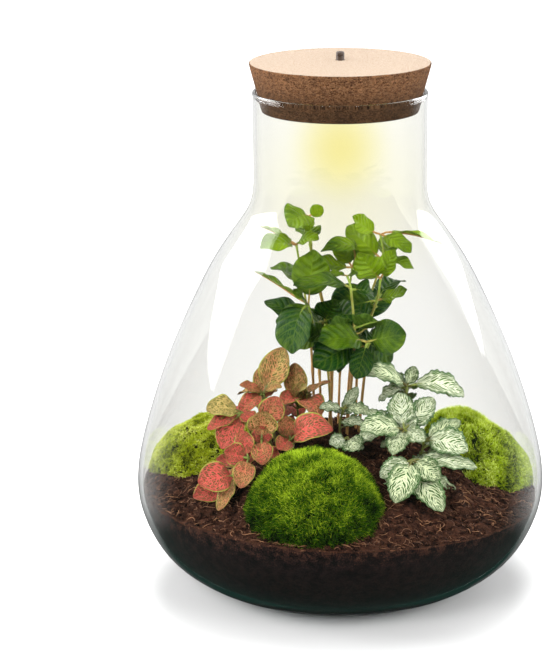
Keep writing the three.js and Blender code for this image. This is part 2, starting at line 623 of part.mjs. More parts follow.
const paint = (color, roughness, metalness = 0) => (
  new THREE.MeshStandardMaterial({ color, roughness, metalness })
);
const glass = new THREE.MeshStandardMaterial({ color: '#e6f0ec', roughness: 0.03, transparent: true, opacity: 0.25 });
const soilBrown = paint('#2e1c14', 0.95);
const cork = paint('#b07d4f', 0.85);
const plastic = paint('#e9e6de', 0.45);
const mossGreens = { moss_front: '#4d7d14', moss_left: '#7f8a24', moss_right: '#668f1c' };
const coffeeGreen = '#3d7a1f';
const fittoniaRed = '#c85a4c';
const fittoniaWhite = '#b9cf9a';

// ---- assembly -----------------------------------------------------------------------------------------------

const terrarium = new THREE.Group();

function place(name, shape, material, position = [0, 0, 0], turn = 0) {
  const mesh = new THREE.Mesh(shape, material);
  mesh.name = name;
  mesh.position.set(...position);
  mesh.rotation.z = turn;
  terrarium.add(mesh);
}

place('glass_jar', jarGeometry(), glass);

const FITTONIA_GIRTH = 0.9;
const shoots = [
  ...COFFEE.map((shoot) => ({ shoot, girth: shoot.girth })),
  ...[...RED, ...WHITE].map((shoot) => ({ shoot, girth: FITTONIA_GIRTH })),
];
const heap = solid(groundGeometry()).intersect(solid(roomGeometry(GAP)));
const bed = shoots.reduce((soil, { shoot, girth }) => soil.subtract(solid(stemHole(shoot, girth))), heap);
place('soil', geometry(bed), soilBrown);

const raisedGround = solid(groundGeometry(GAP));
const mossRoom = solid(roomGeometry(2 * GAP));
MOSS.forEach((cushion) => {
  const body = solid(mossGeometry(cushion)).intersect(mossRoom).subtract(raisedGround);
  place(cushion.name, geometry(body), paint(mossGreens[cushion.name], 0.9));
});

COFFEE.forEach((shoot, i) => place(
  `coffee_seedling_${i + 1}`, shootGeometry(shoot, KINDS.coffee, shoot.girth, 5), paint(coffeeGreen, 0.35),
));
RED.forEach((shoot, i) => place(
  `red_fittonia_shoot_${i + 1}`, shootGeometry(shoot, KINDS.red, FITTONIA_GIRTH, 4), paint(fittoniaRed, 0.5),
));
WHITE.forEach((shoot, i) => place(
  `white_fittonia_shoot_${i + 1}`, shootGeometry(shoot, KINDS.white, FITTONIA_GIRTH, 4), paint(fittoniaWhite, 0.5),
));

place('cork_lid', corkGeometry(), cork);
place('lamp_housing', housingGeometry(), plastic);
place('lamp_cover', coverGeometry(), plastic);
place('lamp_diffuser', diffuserGeometry(), paint('#fff3c4', 0.3));
place('lamp_board', rod(14.5, BOARD_TOP - BOARD_THICKNESS, BOARD_TOP, 16), paint('#2f6b3a', 0.5));
place(
  'lamp_switch', new THREE.BoxGeometry(6, 6, SWITCH_HEIGHT), paint('#1c1c1e', 0.4),
  [...BUTTON_AT, BOARD_TOP + GAP + SWITCH_HEIGHT / 2],
);
[45, 135, 225, 315].forEach((degrees, i) => {
  const angle = THREE.MathUtils.degToRad(degrees);
  place(
    `lamp_led_${i + 1}`, new THREE.BoxGeometry(3.5, 2.8, 1.2), paint('#ffe9a0', 0.3),
    [8 * Math.cos(angle), 8 * Math.sin(angle), BOARD_TOP - BOARD_THICKNESS - GAP - 0.6],
  );
});
[90, 210, 330].forEach((degrees, i) => {
  const angle = THREE.MathUtils.degToRad(degrees);
  const cell = new THREE.CylinderGeometry(CELL_RADIUS, CELL_RADIUS, CELL_LENGTH, 12);
  place(
    `lamp_battery_${i + 1}`, cell, paint('#8c8f93', 0.35, 0.6),
    [CELL_OFFSET * Math.cos(angle), CELL_OFFSET * Math.sin(angle), COVER_TOP + GAP + CELL_RADIUS], angle,
  );
});
place('switch_button', buttonGeometry(), paint('#3a2a22', 0.4), [...BUTTON_AT, 0]);

export default terrarium;
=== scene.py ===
# %% [markdown]
# # A planted glass terrarium
# A closed bottle jar with soil, moss, young coffee plants and two kinds of fittonia, under a cork with a
# lamp in it. The solid model of the object is already packed. This lesson dresses it: each plain solid is
# replaced by a finer piece that has the same place, size and form, and that piece gets the finish of the
# real thing.

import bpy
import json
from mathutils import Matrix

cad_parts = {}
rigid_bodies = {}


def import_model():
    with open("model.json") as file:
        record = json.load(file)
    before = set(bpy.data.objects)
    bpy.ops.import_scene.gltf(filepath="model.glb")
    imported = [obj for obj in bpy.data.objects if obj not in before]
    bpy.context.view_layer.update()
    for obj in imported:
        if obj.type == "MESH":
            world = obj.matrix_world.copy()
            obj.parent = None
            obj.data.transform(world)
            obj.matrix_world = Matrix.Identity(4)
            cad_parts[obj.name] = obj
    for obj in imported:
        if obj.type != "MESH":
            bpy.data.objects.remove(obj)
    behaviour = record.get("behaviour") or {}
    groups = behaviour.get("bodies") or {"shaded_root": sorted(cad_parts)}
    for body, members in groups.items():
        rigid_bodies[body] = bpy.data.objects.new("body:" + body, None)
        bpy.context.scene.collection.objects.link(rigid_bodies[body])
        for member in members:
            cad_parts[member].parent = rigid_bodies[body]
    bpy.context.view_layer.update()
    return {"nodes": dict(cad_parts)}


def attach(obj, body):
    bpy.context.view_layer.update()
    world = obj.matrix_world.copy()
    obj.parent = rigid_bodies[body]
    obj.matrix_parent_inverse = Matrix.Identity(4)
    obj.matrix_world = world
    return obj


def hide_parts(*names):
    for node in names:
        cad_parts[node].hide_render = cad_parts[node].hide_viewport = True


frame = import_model()
print("solids in the frame:", len(frame["nodes"]))

# %% [markdown]
# Blender works in metres, while the parts of a plant are easier to read in millimetres. Every table and
# every dimension of a piece below is in millimetres, and the one constant MM turns them into metres when
# a mesh is made. The camera, the lamps and the patterns of the materials stay in metres, as Blender has
# them. numpy handles many points at once, and each random generator gets a seed, so that every run is the
# same.

# %% Tools and units
import json
import math

import bmesh
import bpy
import numpy as np
from mathutils import Vector, noise

MM = 0.001
BODY = "terrarium"
UP = (0, 0, 1)
FRONT = (0, -1, 0.25)
TILTED = (0, -0.6, 1)  # up and towards the front


def unit(v):
    v = np.asarray(v, float)
    return v / np.linalg.norm(v, axis=-1, keepdims=True)


def smooth(low, high, x):
    t = np.clip((np.asarray(x, float) - low) / (high - low), 0, 1)
    return t * t * (3 - 2 * t)


# %% [markdown]
# A `Mould` collects points and faces, in any order, and casts them as one Blender object at the end. Each
# part that goes in names its `skin`, the number of its material. `uv` runs along and across a leaf, and
# `tone` is one number per point that a material may read as age or as height along a blade.

# %% A mould for every piece
class Mould:
    def __init__(self):
        self.points, self.faces, self.skins, self.uv, self.tone = [], [], [], [], []
        self.count = 0

    def add(self, points, faces, skin=0, uv=None, tone=0.0):
        points = np.asarray(points, float).reshape(-1, 3)
        self.points.append(points)
        self.uv.append(np.zeros((len(points), 2)) if uv is None else np.asarray(uv, float).reshape(-1, 2))
        self.tone.append(np.broadcast_to(np.asarray(tone, float), len(points)))
        for group in faces:
            group = np.asarray(group) + self.count
            self.faces.extend(group.tolist())
            self.skins.append(np.full(len(group), skin))
        self.count += len(points)

    def more(self, faces, skin, start):
        """More faces on points that are already in, counted from the start."""
        for group in faces:
            self.faces.extend((np.asarray(group) + start).tolist())
            self.skins.append(np.full(len(group), skin))

    def object(self, name, materials):
        mesh = bpy.data.meshes.new(name)
        mesh.from_pydata(np.vstack(self.points) * MM, [], self.faces)
        mesh.polygons.foreach_set("material_index", np.concatenate(self.skins))
        corners = np.zeros(len(mesh.loops), int)
        mesh.loops.foreach_get("vertex_index", corners)
        uv_map = mesh.uv_layers.new(name="LeafMap")
        uv_map.data.foreach_set("uv", np.vstack(self.uv)[corners].ravel())
        tone = mesh.attributes.new("tone", "FLOAT", "POINT")
        tone.data.foreach_set("value", np.concatenate(self.tone))
        for material in materials:
            mesh.materials.append(material)
        mesh.shade_smooth()
        mesh.update()
        piece = bpy.data.objects.new(name, mesh)
        bpy.context.scene.collection.objects.link(piece)
        return piece

    def cast(self, name, materials, slot, *nodes, body=BODY):
        return settle(self.object(name, materials), slot, *nodes, body=body)


def settle(piece, slot, *nodes, body=BODY):
    """The piece moves with its body and stands for its solids. Its slot is not used."""
    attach(piece, body)
    if nodes:
        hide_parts(*nodes)
    return piece


# %% [markdown]
# Three ways of making a shape come back again and again: a closed ring of points swept along a path, an
# outline turned about the jar's axis, and a line drawn smoothly through a few points (a Catmull-Rom
# curve, which passes through all of them). Both kinds of surface end in one point at each end, so they
# are closed bodies, as real things are.

# %% Sweep, turn and smooth
def grid_faces(rows, columns, wrap=False):
    """Quads between neighbours in a grid of points. With wrap, the last column joins the first."""
    i, j = np.meshgrid(np.arange(rows - 1), np.arange(columns if wrap else columns - 1), indexing="ij")
    k = (j + 1) % columns
    quads = np.stack([i * columns + j, i * columns + k, (i + 1) * columns + k, (i + 1) * columns + j], -1)
    return quads.reshape(-1, 4)


def closed_faces(rows, sides):
    """Faces of a body of closed rings, whose first and last ring each run to one more point at the end."""
    count = rows * sides
    j = np.arange(sides)
    k = (j + 1) % sides
    caps = np.vstack([
        np.stack([np.full(sides, count), k, j], -1),
        np.stack([np.full(sides, count + 1), count - sides + j, count - sides + k], -1),
    ])
    return [grid_faces(rows, sides, wrap=True), caps]


def full_turn(sides):
    """Equal steps of angle, once round."""
    return np.arange(sides) * 2 * math.pi / sides


def smooth_line(points, per_span):
    p = np.asarray(points, float)
    p = np.vstack([2 * p[0] - p[1], p, 2 * p[-1] - p[-2]])
    t = (np.arange(per_span) / per_span)[:, None]
    spans = [
        0.5 * (2 * b + (c - a) * t + (2 * a - 5 * b + 4 * c - d) * t**2 + (3 * b - a - 3 * c + d) * t**3)
        for a, b, c, d in zip(p, p[1:], p[2:], p[3:])
    ]
    return np.vstack([*spans, p[-2]])


def turned(outline, sides):
    """Points and faces of a closed body about +Z, from (radius, height) rows whose ends are on it."""
    outline = np.asarray(outline, float)
    radius, height = outline[1:-1, :1], outline[1:-1, 1:]
    angle = full_turn(sides)
    points = np.stack(np.broadcast_arrays(radius * np.cos(angle), radius * np.sin(angle), height), -1)
    poles = [[0, 0, outline[0, 1]], [0, 0, outline[-1, 1]]]
    return np.vstack([points.reshape(-1, 3), poles]), closed_faces(len(radius), sides)


def tube(path, radii, sides=8):
    """Points and faces of a closed round tube along a path."""
    path = np.asarray(path, float)
    ways = unit(np.gradient(path, axis=0))
    across = np.array([0.02, 1, 0.01])
    rings = []
    angle = full_turn(sides)
    for point, way, radius in zip(path, ways, np.broadcast_to(radii, len(path))):
        across = unit(across - way * across.dot(way))
        side = np.cross(way, across)
        rings.append(point + radius * (np.cos(angle)[:, None] * across + np.sin(angle)[:, None] * side))
    return np.vstack([*rings, path[0], path[-1]]), closed_faces(len(path), sides)


print("tube of 4 points:", len(tube([[0, 0, 0], [0, 0, 1], [0, 0, 2], [0, 0, 3]], 1)[0]), "vertices")

# %% [markdown]
# The camera comes first, because everything is compared with the picture it takes. It looks slightly down
# on the jar through a long lens, as product photographs are taken, and its frame is shifted a little
# sideways instead of being turned, so that the neck stays upright.

# %% Camera
CAMERA_BACK = 1.24  # metres
CAMERA_HEIGHT = 0.4986  # metres
CAMERA_TILT = 15.842  # degrees
FOCAL_PIXELS = 2250  # for a frame of 550 by 655
FRAME_HEIGHT = 655
AXIS_COLUMN, MIDDLE_COLUMN = 340.2, 275

camera = bpy.data.objects.new("camera", bpy.data.cameras.new("camera"))
bpy.context.scene.collection.objects.link(camera)
bpy.context.scene.camera = camera
camera.location = (0, -CAMERA_BACK, CAMERA_HEIGHT)
camera.rotation_euler = (math.radians(90 - CAMERA_TILT), 0, 0)
camera.data.lens = FOCAL_PIXELS * camera.data.sensor_width / FRAME_HEIGHT
camera.data.shift_x = (MIDDLE_COLUMN - AXIS_COLUMN) / FRAME_HEIGHT
print("lens", round(camera.data.lens, 2), "mm")

# %% [markdown]
# A material is a small graph of nodes. `wire` adds one node, sets its options, and either links or sets
# its inputs, which keeps a graph as readable as a formula. `finish` starts a material from the Principled
# shader, with the constant values on the shader's own sockets. The helpers below them each name one small
# step that several finishes share, such as blending two colours by a mask or finding out which way a face
# looks.

# %% Wiring nodes
def plug(tree, node, inputs):
    """Links the inputs whose value is another node's output, and sets the others to their own value."""
    for socket, value in inputs.items():
        if isinstance(value, bpy.types.NodeSocket):
            tree.links.new(value, node.inputs[socket])
        else:
            node.inputs[socket].default_value = value
    return node


def wire(tree, kind, inputs=None, **options):
    node = tree.nodes.new("ShaderNode" + kind)
    for option, value in options.items():
        setattr(node, option, value)
    return plug(tree, node, inputs or {})


def sums(tree, operation, a, b=0.0, c=None, clamp=False):
    inputs = {0: a, 1: b} if c is None else {0: a, 1: b, 2: c}
    return wire(tree, "Math", inputs, operation=operation, use_clamp=clamp).outputs[0]


def ramp(tree, value, low, high, start=0.0, end=1.0):
    inputs = {"Value": value, "From Min": low, "From Max": high, "To Min": start, "To Max": end}
    return wire(tree, "MapRange", inputs, interpolation_type="SMOOTHSTEP").outputs["Result"]


def blend(tree, mask, a, b):
    """Colour a where the mask is 0 and b where it is 1."""
    return wire(tree, "Mix", {0: mask, 6: a, 7: b}, data_type="RGBA").outputs[2]


def rgb(red, green, blue):
    return (red, green, blue, 1.0)


def finish(name, **values):
    """A new material with its Principled shader's own sockets set, and its tree."""
    material = bpy.data.materials.new(name)
    material.use_nodes = True
    shader = material.node_tree.nodes["Principled BSDF"]
    for socket, value in values.items():
        shader.inputs[socket.replace("_", " ")].default_value = value
    return material, material.node_tree, shader


def where(tree):
    """The point's place in the object, in metres."""
    return wire(tree, "TexCoord").outputs["Object"]


def speckle(tree, place, scale, detail=2.0, roughness=0.5, stretch=None):
    """A soft random pattern from 0 to 1. scale is in cells per metre."""
    if stretch:
        place = wire(tree, "Mapping", {"Vector": place, "Scale": stretch}).outputs[0]
    inputs = {"Vector": place, "Scale": scale, "Detail": detail, "Roughness": roughness}
    return wire(tree, "TexNoise", inputs).outputs["Fac"]


def bump(tree, shader, height, depth, strength=1.0):
    """Height in 0 to 1 becomes a relief of so many millimetres in the shader's normal."""
    node = wire(tree, "Bump", {"Height": height, "Distance": depth * MM, "Strength": strength})
    tree.links.new(node.outputs[0], shader.inputs["Normal"])


def paint(tree, shader, colour):
    tree.links.new(colour, shader.inputs["Base Color"])


def swayed(tree, value, mask, amount, clamp=False):
    """The value, raised where the mask is above one half and lowered where it is below."""
    return sums(tree, "MULTIPLY_ADD", sums(tree, "SUBTRACT", mask, 0.5), amount, value, clamp)


def xyz_of(tree, vector):
    return wire(tree, "SeparateXYZ", {0: vector}).outputs


def facing_up(tree):
    """1 on faces that look straight up, 0 on upright ones and -1 on faces that look down."""
    return xyz_of(tree, wire(tree, "NewGeometry").outputs["Normal"])["Z"]


def tone_of(tree):
    """The number that a Mould keeps for each point."""
    return wire(tree, "Attribute", attribute_name="tone").outputs["Fac"]


def let_light_through(tree, shader, colour, share):
    """A share of the surface passes light on, as a thin leaf does."""
    through = wire(tree, "BsdfTranslucent", {"Color": colour})
    both = wire(tree, "MixShader", {0: share, 1: shader.outputs[0], 2: through.outputs[0]})
    tree.links.new(both.outputs[0], tree.nodes["Material Output"].inputs["Surface"])


# %% [markdown]
# Effects that several finishes share are node groups: built once, then placed in each material with
# values of its own. The first one is grain: it mixes a coarse and a fine pattern into one mask, which
# clumps of soil, cork granules and moulded plastic all need. The second is the vein pattern of a leaf,
# worked out from the map that runs along the leaf and across it: a midrib, and side veins that leave it
# at a slant and fade at the margin.

# %% Shared effect: grain
def new_group(name, inputs, outputs):
    """An empty group with its sockets. An input is a label, a kind and a value, or None for no value."""
    tree = bpy.data.node_groups.new(name, "ShaderNodeTree")
    for label, kind, value in inputs:
        socket = tree.interface.new_socket(label, in_out="INPUT", socket_type="NodeSocket" + kind)
        if value is not None:
            socket.default_value = value
    for label, kind in outputs:
        tree.interface.new_socket(label, in_out="OUTPUT", socket_type="NodeSocket" + kind)
    return tree, tree.nodes.new("NodeGroupInput").outputs, tree.nodes.new("NodeGroupOutput").inputs


def give(tree, outputs, **results):
    for label, socket in results.items():
        tree.links.new(socket, outputs[label])


def placed(tree, group, inputs):
    node = tree.nodes.new("ShaderNodeGroup")
    node.node_tree = group
    return plug(tree, node, inputs).outputs


grain, grain_in, grain_out = new_group(
    "grain",
    [
        ("Place", "Vector", None), ("Coarse", "Float", 200.0),
        ("Fine", "Float", 1500.0), ("Share", "Float", 0.5),
    ],
    [("Mask", "Float"), ("Spots", "Float")],
)
coarse = speckle(grain, grain_in["Place"], grain_in["Coarse"], 3.0, 0.6)
fine = speckle(grain, grain_in["Place"], grain_in["Fine"], 2.0, 0.5)
difference = sums(grain, "SUBTRACT", fine, coarse)
mixed = sums(grain, "MULTIPLY_ADD", difference, grain_in["Share"], coarse)
cells = wire(grain, "TexVoronoi", {"Vector": grain_in["Place"], "Scale": grain_in["Fine"]})
give(grain, grain_out, Mask=ramp(grain, mixed, 0.35, 0.65), Spots=cells.outputs["Distance"])


def grained(tree, place, coarse, fine, share):
    return placed(tree, grain, {"Place": place, "Coarse": coarse, "Fine": fine, "Share": share})


print("grain group:", len(grain.nodes), "nodes")

# %% Shared effect: leaf veins
veins, veins_in, veins_out = new_group(
    "leaf_veins",
    [
        ("Map", "Vector", None), ("Count", "Float", 8.0), ("Slant", "Float", 0.35),
        ("Width", "Float", 0.12), ("Net", "Float", 3.0), ("Net Width", "Float", 0.1),
    ],
    [("Mask", "Float"), ("Net", "Float"), ("Margin", "Float"), ("Quilt", "Float")],
)
axes = xyz_of(veins, veins_in["Map"])
off_middle = sums(veins, "MULTIPLY_ADD", axes["Y"], 2.0, -1.0)
reach = sums(veins, "ABSOLUTE", off_middle)
slanted = sums(veins, "MULTIPLY", sums(veins, "POWER", reach, 1.25), veins_in["Slant"])
order = sums(veins, "MULTIPLY", sums(veins, "SUBTRACT", axes["X"], slanted), veins_in["Count"])
side = sums(veins, "SIGN", off_middle)
order = sums(veins, "MULTIPLY_ADD", side, 0.21, order)  # the veins of the two halves take turns
to_vein = sums(veins, "PINGPONG", order, 0.5)
thin = sums(veins, "MULTIPLY", veins_in["Width"], sums(veins, "MULTIPLY_ADD", reach, -0.6, 1.0))
side_vein = ramp(veins, to_vein, 0.0, thin, 1.0, 0.0)
rib_width = sums(veins, "MULTIPLY_ADD", axes["X"], -0.05, 0.075)
midrib = ramp(veins, reach, 0.0, rib_width, 1.0, 0.0)
net_across = sums(veins, "MULTIPLY", off_middle, veins_in["Net"])
lattice = wire(veins, "CombineXYZ", {0: order, 1: net_across}).outputs[0]
mesh_cells = wire(veins, "TexVoronoi", {"Vector": lattice, "Scale": 1.0}, feature="DISTANCE_TO_EDGE")
net = ramp(veins, mesh_cells.outputs["Distance"], 0.0, veins_in["Net Width"], 1.0, 0.0)
lines = sums(veins, "MAXIMUM", side_vein, midrib)
give(veins, veins_out, Mask=lines, Net=net, Margin=reach, Quilt=to_vein)
print("leaf vein group:", len(veins.nodes), "nodes")

# %% [markdown]
# ## The jar
# The jar is one blown piece of clear glass. A glass body needs real walls: light bends where it enters a
# wall and again where it leaves, and that is what draws the jar's edges. So the outline runs up the
# outside, over the melted rim and down the inside, and is turned about the axis. The rim is a small round
# bead, and the thick base is pushed up a little in its middle, so that the jar stands on a ring. The
# straight neck has rows of its own, close together under the bead, which keep its smooth shading straight
# where the bead's shading turns.

# %% Jar outline
FOOT_RADIUS, FOOT_RING, PUSH_UP = 74, 12, 1.6
NECK_RADIUS, NECK_START, RIM_HEIGHT = 48.9, 232, 283.7
WALL_NECK, WALL_BODY, BASE_THICKNESS = 2.0, 2.6, 8
BELLY_RADIUS = 117.6
JAR_OUTLINE = [
    (FOOT_RADIUS, 0), (88, 6.5), (102.4, 18), (112.3, 34), (BELLY_RADIUS, 55), (113.6, 84),
    (98.1, 132), (76.2, 180), (61.1, 204), (52.5, 216), (49.6, 223), (NECK_RADIUS, NECK_START),
]
outer = smooth_line(JAR_OUTLINE, 12)
length = np.r_[0, np.cumsum(np.linalg.norm(np.diff(outer, axis=0), axis=1))]
even = np.linspace(0, length[-1], 190)
outer = np.stack([np.interp(even, length, outer[:, 0]), np.interp(even, length, outer[:, 1])], -1)
for _ in range(22):  # blown glass has no kinks, and a mirrored lamp would show them
    outer[1:-1] = outer[1:-1] / 2 + (outer[:-2] + outer[2:]) / 4
outer[:, 0] = np.minimum(outer[:, 0] * BELLY_RADIUS / outer[:, 0].max(), BELLY_RADIUS)
outer[:, 1] = np.maximum(outer[:, 1], 0)
way = unit(np.gradient(outer, axis=0))
wall = WALL_BODY + (WALL_NECK - WALL_BODY) * smooth(150, NECK_START, outer[:, 1:])
inner = (outer + wall * np.stack([-way[:, 1], way[:, 0]], -1))[::3]
outer = outer[::3]
inner = inner[inner[:, 1] > BASE_THICKNESS + 2.5]
floor_end = inner[0, 0]
floor_bend = [(floor_end - 12, BASE_THICKNESS), (floor_end - 5, BASE_THICKNESS + 0.5), inner[0]]
floor_edge = smooth_line(floor_bend, 6)
inner = np.vstack([floor_edge[:-1], inner])
BEAD_RADIUS = 1.3
BEAD_MIDDLE = (NECK_RADIUS - WALL_NECK / 2, RIM_HEIGHT - BEAD_RADIUS)
BEAD_START, BEAD_END = -39.7, 219.7  # from the outer wall of the neck round to the inner one, in degrees
turn = np.radians(np.linspace(BEAD_START, BEAD_END, 21))
rim = np.add(BEAD_MIDDLE, BEAD_RADIUS * np.stack([np.cos(turn), np.sin(turn)], -1))
hollow = FOOT_RADIUS - FOOT_RING
foot = [(0, PUSH_UP), (hollow - 6, PUSH_UP), (hollow - 2, PUSH_UP * 0.6), (hollow, 0)]
neck_rows = np.r_[NECK_START + 2 : RIM_HEIGHT - 5 : 8j, RIM_HEIGHT - 3.8, RIM_HEIGHT - 3.3]
neck_out = np.stack([np.full(len(neck_rows), NECK_RADIUS), neck_rows], -1)
neck_in = neck_out - [WALL_NECK, 0]
jar_outline = np.vstack([foot, outer, neck_out, rim, neck_in[::-1], inner[::-1], [(0, BASE_THICKNESS)]])


def inner_radius(height):
    return np.interp(height, inner[:, 1], inner[:, 0])


print("jar outline:", len(jar_outline), "points")
print("inside radius at the soil:", round(float(inner_radius(54)), 1), "mm")

# %% [markdown]
# Clear glass in a picture made of light paths has one trap: the light that should reach the plants
# through the wall is nearly lost, because a lamp can't be found through bent rays. So for the rays that
# only ask whether a lamp is hidden, and for light that leaves a leaf in all directions, the glass is
# plainly transparent with a faint tint. Every other ray sees real glass. The tint inside the wall shows
# where the light runs along it: at the edges of the jar and in its thick base.

# %% Glass
JAR_SIDES = 512
glass, tree, shader = finish(
    "clear_glass", Base_Color=rgb(0.985, 0.99, 0.985), Roughness=0.0, IOR=1.45, Transmission_Weight=1.0,
)
clear = wire(tree, "BsdfTransparent", {"Color": rgb(0.97, 0.985, 0.98)})
rays = wire(tree, "LightPath").outputs
passing = sums(tree, "MAXIMUM", rays["Is Shadow Ray"], rays["Is Diffuse Ray"])
both = wire(tree, "MixShader", {0: passing, 1: shader.outputs[0], 2: clear.outputs[0]})
tree.links.new(both.outputs[0], tree.nodes["Material Output"].inputs["Surface"])
depth_tint = wire(tree, "VolumeAbsorption", {"Color": rgb(0.45, 0.62, 0.55), "Density": 7.0})
tree.links.new(depth_tint.outputs[0], tree.nodes["Material Output"].inputs["Volume"])

jar = Mould()
jar.add(*turned(jar_outline, JAR_SIDES))
glass_jar = jar.cast("jar_glass", [glass], "glass", "glass_jar")
print("jar:", len(glass_jar.data.polygons), "faces")

# %% [markdown]
# ## The soil
# Potting soil is a heap of crumbs and fibres. From the side it is pressed against the glass, where its
# line rises and falls, and on top it is loose. One closed body carries the shape, with its lumps made by
# layered noise in code, and then thousands of loose crumbs and fibres are strewn over it by a seeded
# rule. A displacement modifier would do for the body, but code can keep its side flat against the glass.

# %% Soil heights
SOIL_PEAK, SOIL_EDGE = 84, 53.5
GLASS_GAP = 0.15


def soil_edge(angle):
    return SOIL_EDGE - 3.5 * np.cos(angle) - 1.5 * np.sin(angle)


def soil_height(x, y):
    """The soil's smooth surface, before its crumbs."""
    edge = soil_edge(np.arctan2(y, x))
    inward = np.maximum(0, 1 - (np.hypot(x, y) / inner_radius(edge)) ** 2)
    lumps = 1.1 * np.sin(x / 7 + 1) * np.sin(y / 6) + 0.7 * np.sin(x / 3.7 + y / 5.1)
    return edge + (SOIL_PEAK - edge) * inward**1.8 + lumps * np.minimum(1, 4 * inward)


def rough(points, size, octaves=3):
    """Layered noise at each point, with features of about the given size."""
    scaled = np.asarray(points, float) / size
    return np.array([noise.fractal(Vector(p), 0.9, 2.1, octaves) for p in scaled.tolist()])


print("soil height at the jar's middle:", round(float(soil_height(0, 0)), 1), "mm")

# %% Soil body
SOIL_SIDES, SIDE_RINGS, TOP_RINGS = 384, 26, 96
angle = full_turn(SOIL_SIDES)
direction = np.stack([np.cos(angle), np.sin(angle)], -1)
edge_line = soil_edge(angle) + 0.9 * rough(np.c_[direction * 30, angle * 0], 3.0)
floor_height = BASE_THICKNESS + 0.4
rings = []
for share in np.linspace(0, 1, SIDE_RINGS):
    height = floor_height + (edge_line - floor_height) * share**0.8
    radius = inner_radius(height) - GLASS_GAP
    rings.append(np.c_[direction * radius[:, None], height])
for share in np.linspace(1, 0, TOP_RINGS + 1)[1:-1] ** 0.9:
    flat = direction * (radius * share)[:, None]
    height = soil_height(flat[:, 0], flat[:, 1])
    near_glass = smooth(1.0, 0.94, share)
    height = height * near_glass + (edge_line - 0.3) * (1 - near_glass)
    crumbs = 2.2 * rough(np.c_[flat, height * 0], 5.0, 4) * min(1, 12 * (1 - share))
    rings.append(np.c_[flat, height + crumbs])
poles = [[0, 0, floor_height], [0, 0, float(soil_height(0, 0))]]
bed = Mould()
bed.add(np.vstack([*rings, poles]), closed_faces(len(rings), SOIL_SIDES))
print("soil body:", bed.count, "points")

# %% [markdown]
# The finish of the soil changes with where it is. On top it is brown, with darker damp crumbs and lighter
# dry ones. Against the glass it is damp and nearly black. A face counts as on top if it looks up, and
# partly so if it lies above the soil line. Some grain is added to that height, so that the line isn't
# drawn with a ruler.

# %% Soil finish
soil_brown, tree, shader = finish("potting_soil", Roughness=0.92, Specular_IOR_Level=0.08)
place = where(tree)
mask = grained(tree, place, 230.0, 1300.0, 0.45)["Mask"]
crumb = blend(tree, mask, rgb(0.010, 0.004, 0.003), rgb(0.072, 0.027, 0.015))
dry = ramp(tree, speckle(tree, place, 420.0, 4.0, 0.65), 0.56, 0.68)
crumb = blend(tree, dry, crumb, rgb(0.15, 0.065, 0.035))
height = swayed(tree, xyz_of(tree, place)["Z"], mask, 0.012)
above_line = ramp(tree, height, 0.047, 0.062, 0.0, 0.6)
on_top = sums(tree, "MAXIMUM", ramp(tree, facing_up(tree), 0.25, 0.6), above_line)
pressed = blend(tree, mask, rgb(0.002, 0.0012, 0.0014), rgb(0.013, 0.0065, 0.006))
paint(tree, shader, blend(tree, on_top, pressed, crumb))
bump(tree, shader, speckle(tree, place, 900.0, 4.0, 0.7), 0.9, strength=0.8)
bed.cast("soil_bed", [soil_brown], "soil", "soil")

# %% [markdown]
# Loose crumbs are squashed eight-faced grains with random turns. All of them are one mesh, and each is a
# copy of the same six points, which numpy stretches, turns and moves in one go. Fibres are thin bent
# tubes of three sides that lie on the soil, anywhere but in its middle, which the plants hide.

# %% Crumbs and fibres
rng = np.random.default_rng(11)


def strewn(count, innermost, outermost, lift):
    """Random places on the soil between two shares of its radius."""
    turns = rng.uniform(0, 2 * math.pi, count)
    share = np.sqrt(rng.uniform(innermost**2, outermost**2, count))
    radius = (inner_radius(soil_edge(turns)) - 1.2) * share
    x, y = radius * np.cos(turns), radius * np.sin(turns)
    return np.c_[x, y, soil_height(x, y) + lift]


CRUMB = np.array([[1, 0, 0], [-1, 0, 0], [0, 1, 0], [0, -1, 0], [0, 0, 1], [0, 0, -1]], float)
CRUMB_FACES = np.array([
    [0, 2, 4], [2, 1, 4], [1, 3, 4], [3, 0, 4], [2, 0, 5], [1, 2, 5], [3, 1, 5], [0, 3, 5],
])
middles = strewn(9000, 0.0, 1.0, 0.3)
size = rng.gamma(2.0, 0.34, len(middles))[:, None, None] + 0.3
basis = rng.normal(size=(len(middles), 3, 3))
basis = basis / np.linalg.norm(basis, axis=-1, keepdims=True)
grains = np.einsum("kp,npq->nkq", CRUMB, basis) * size + middles[:, None]
loose = Mould()
faces = (np.arange(len(middles))[:, None, None] * len(CRUMB) + CRUMB_FACES).reshape(-1, 3)
loose.add(grains, [faces])
crumbs = loose.cast("soil_crumbs", [soil_brown], "soil", "soil")

fibre_brown, tree, shader = finish("coir_fibre", Roughness=0.8)
shade = ramp(tree, speckle(tree, where(tree), 90.0), 0.35, 0.65)
paint(tree, shader, blend(tree, shade, rgb(0.09, 0.03, 0.012), rgb(0.36, 0.16, 0.07)))
threads = Mould()
for foot in strewn(1500, 0.3, 1.0, 0.6):
    way = rng.uniform(0, 2 * math.pi)
    length, curl = rng.uniform(2.5, 8.0), rng.normal(0, 1.0)
    s = np.linspace(-0.5, 0.5, 6)
    line = foot[:2] + np.c_[np.cos(way + curl * s), np.sin(way + curl * s)] * (length * s)[:, None]
    reach = np.hypot(*line.T)
    line *= np.minimum(1, (inner_radius(50.0) - 1.0) / reach)[:, None]
    height = soil_height(*line.T) + 0.55 + rng.uniform(0, 0.9) * (1 - (2 * s) ** 2)
    threads.add(*tube(np.c_[line, height], 0.2 * (1.1 - np.abs(s)), 3))
fibres = threads.cast("soil_fibres", [fibre_brown], "soil", "soil")
print("crumbs:", len(crumbs.data.polygons), "faces, fibres:", len(fibres.data.polygons), "faces")
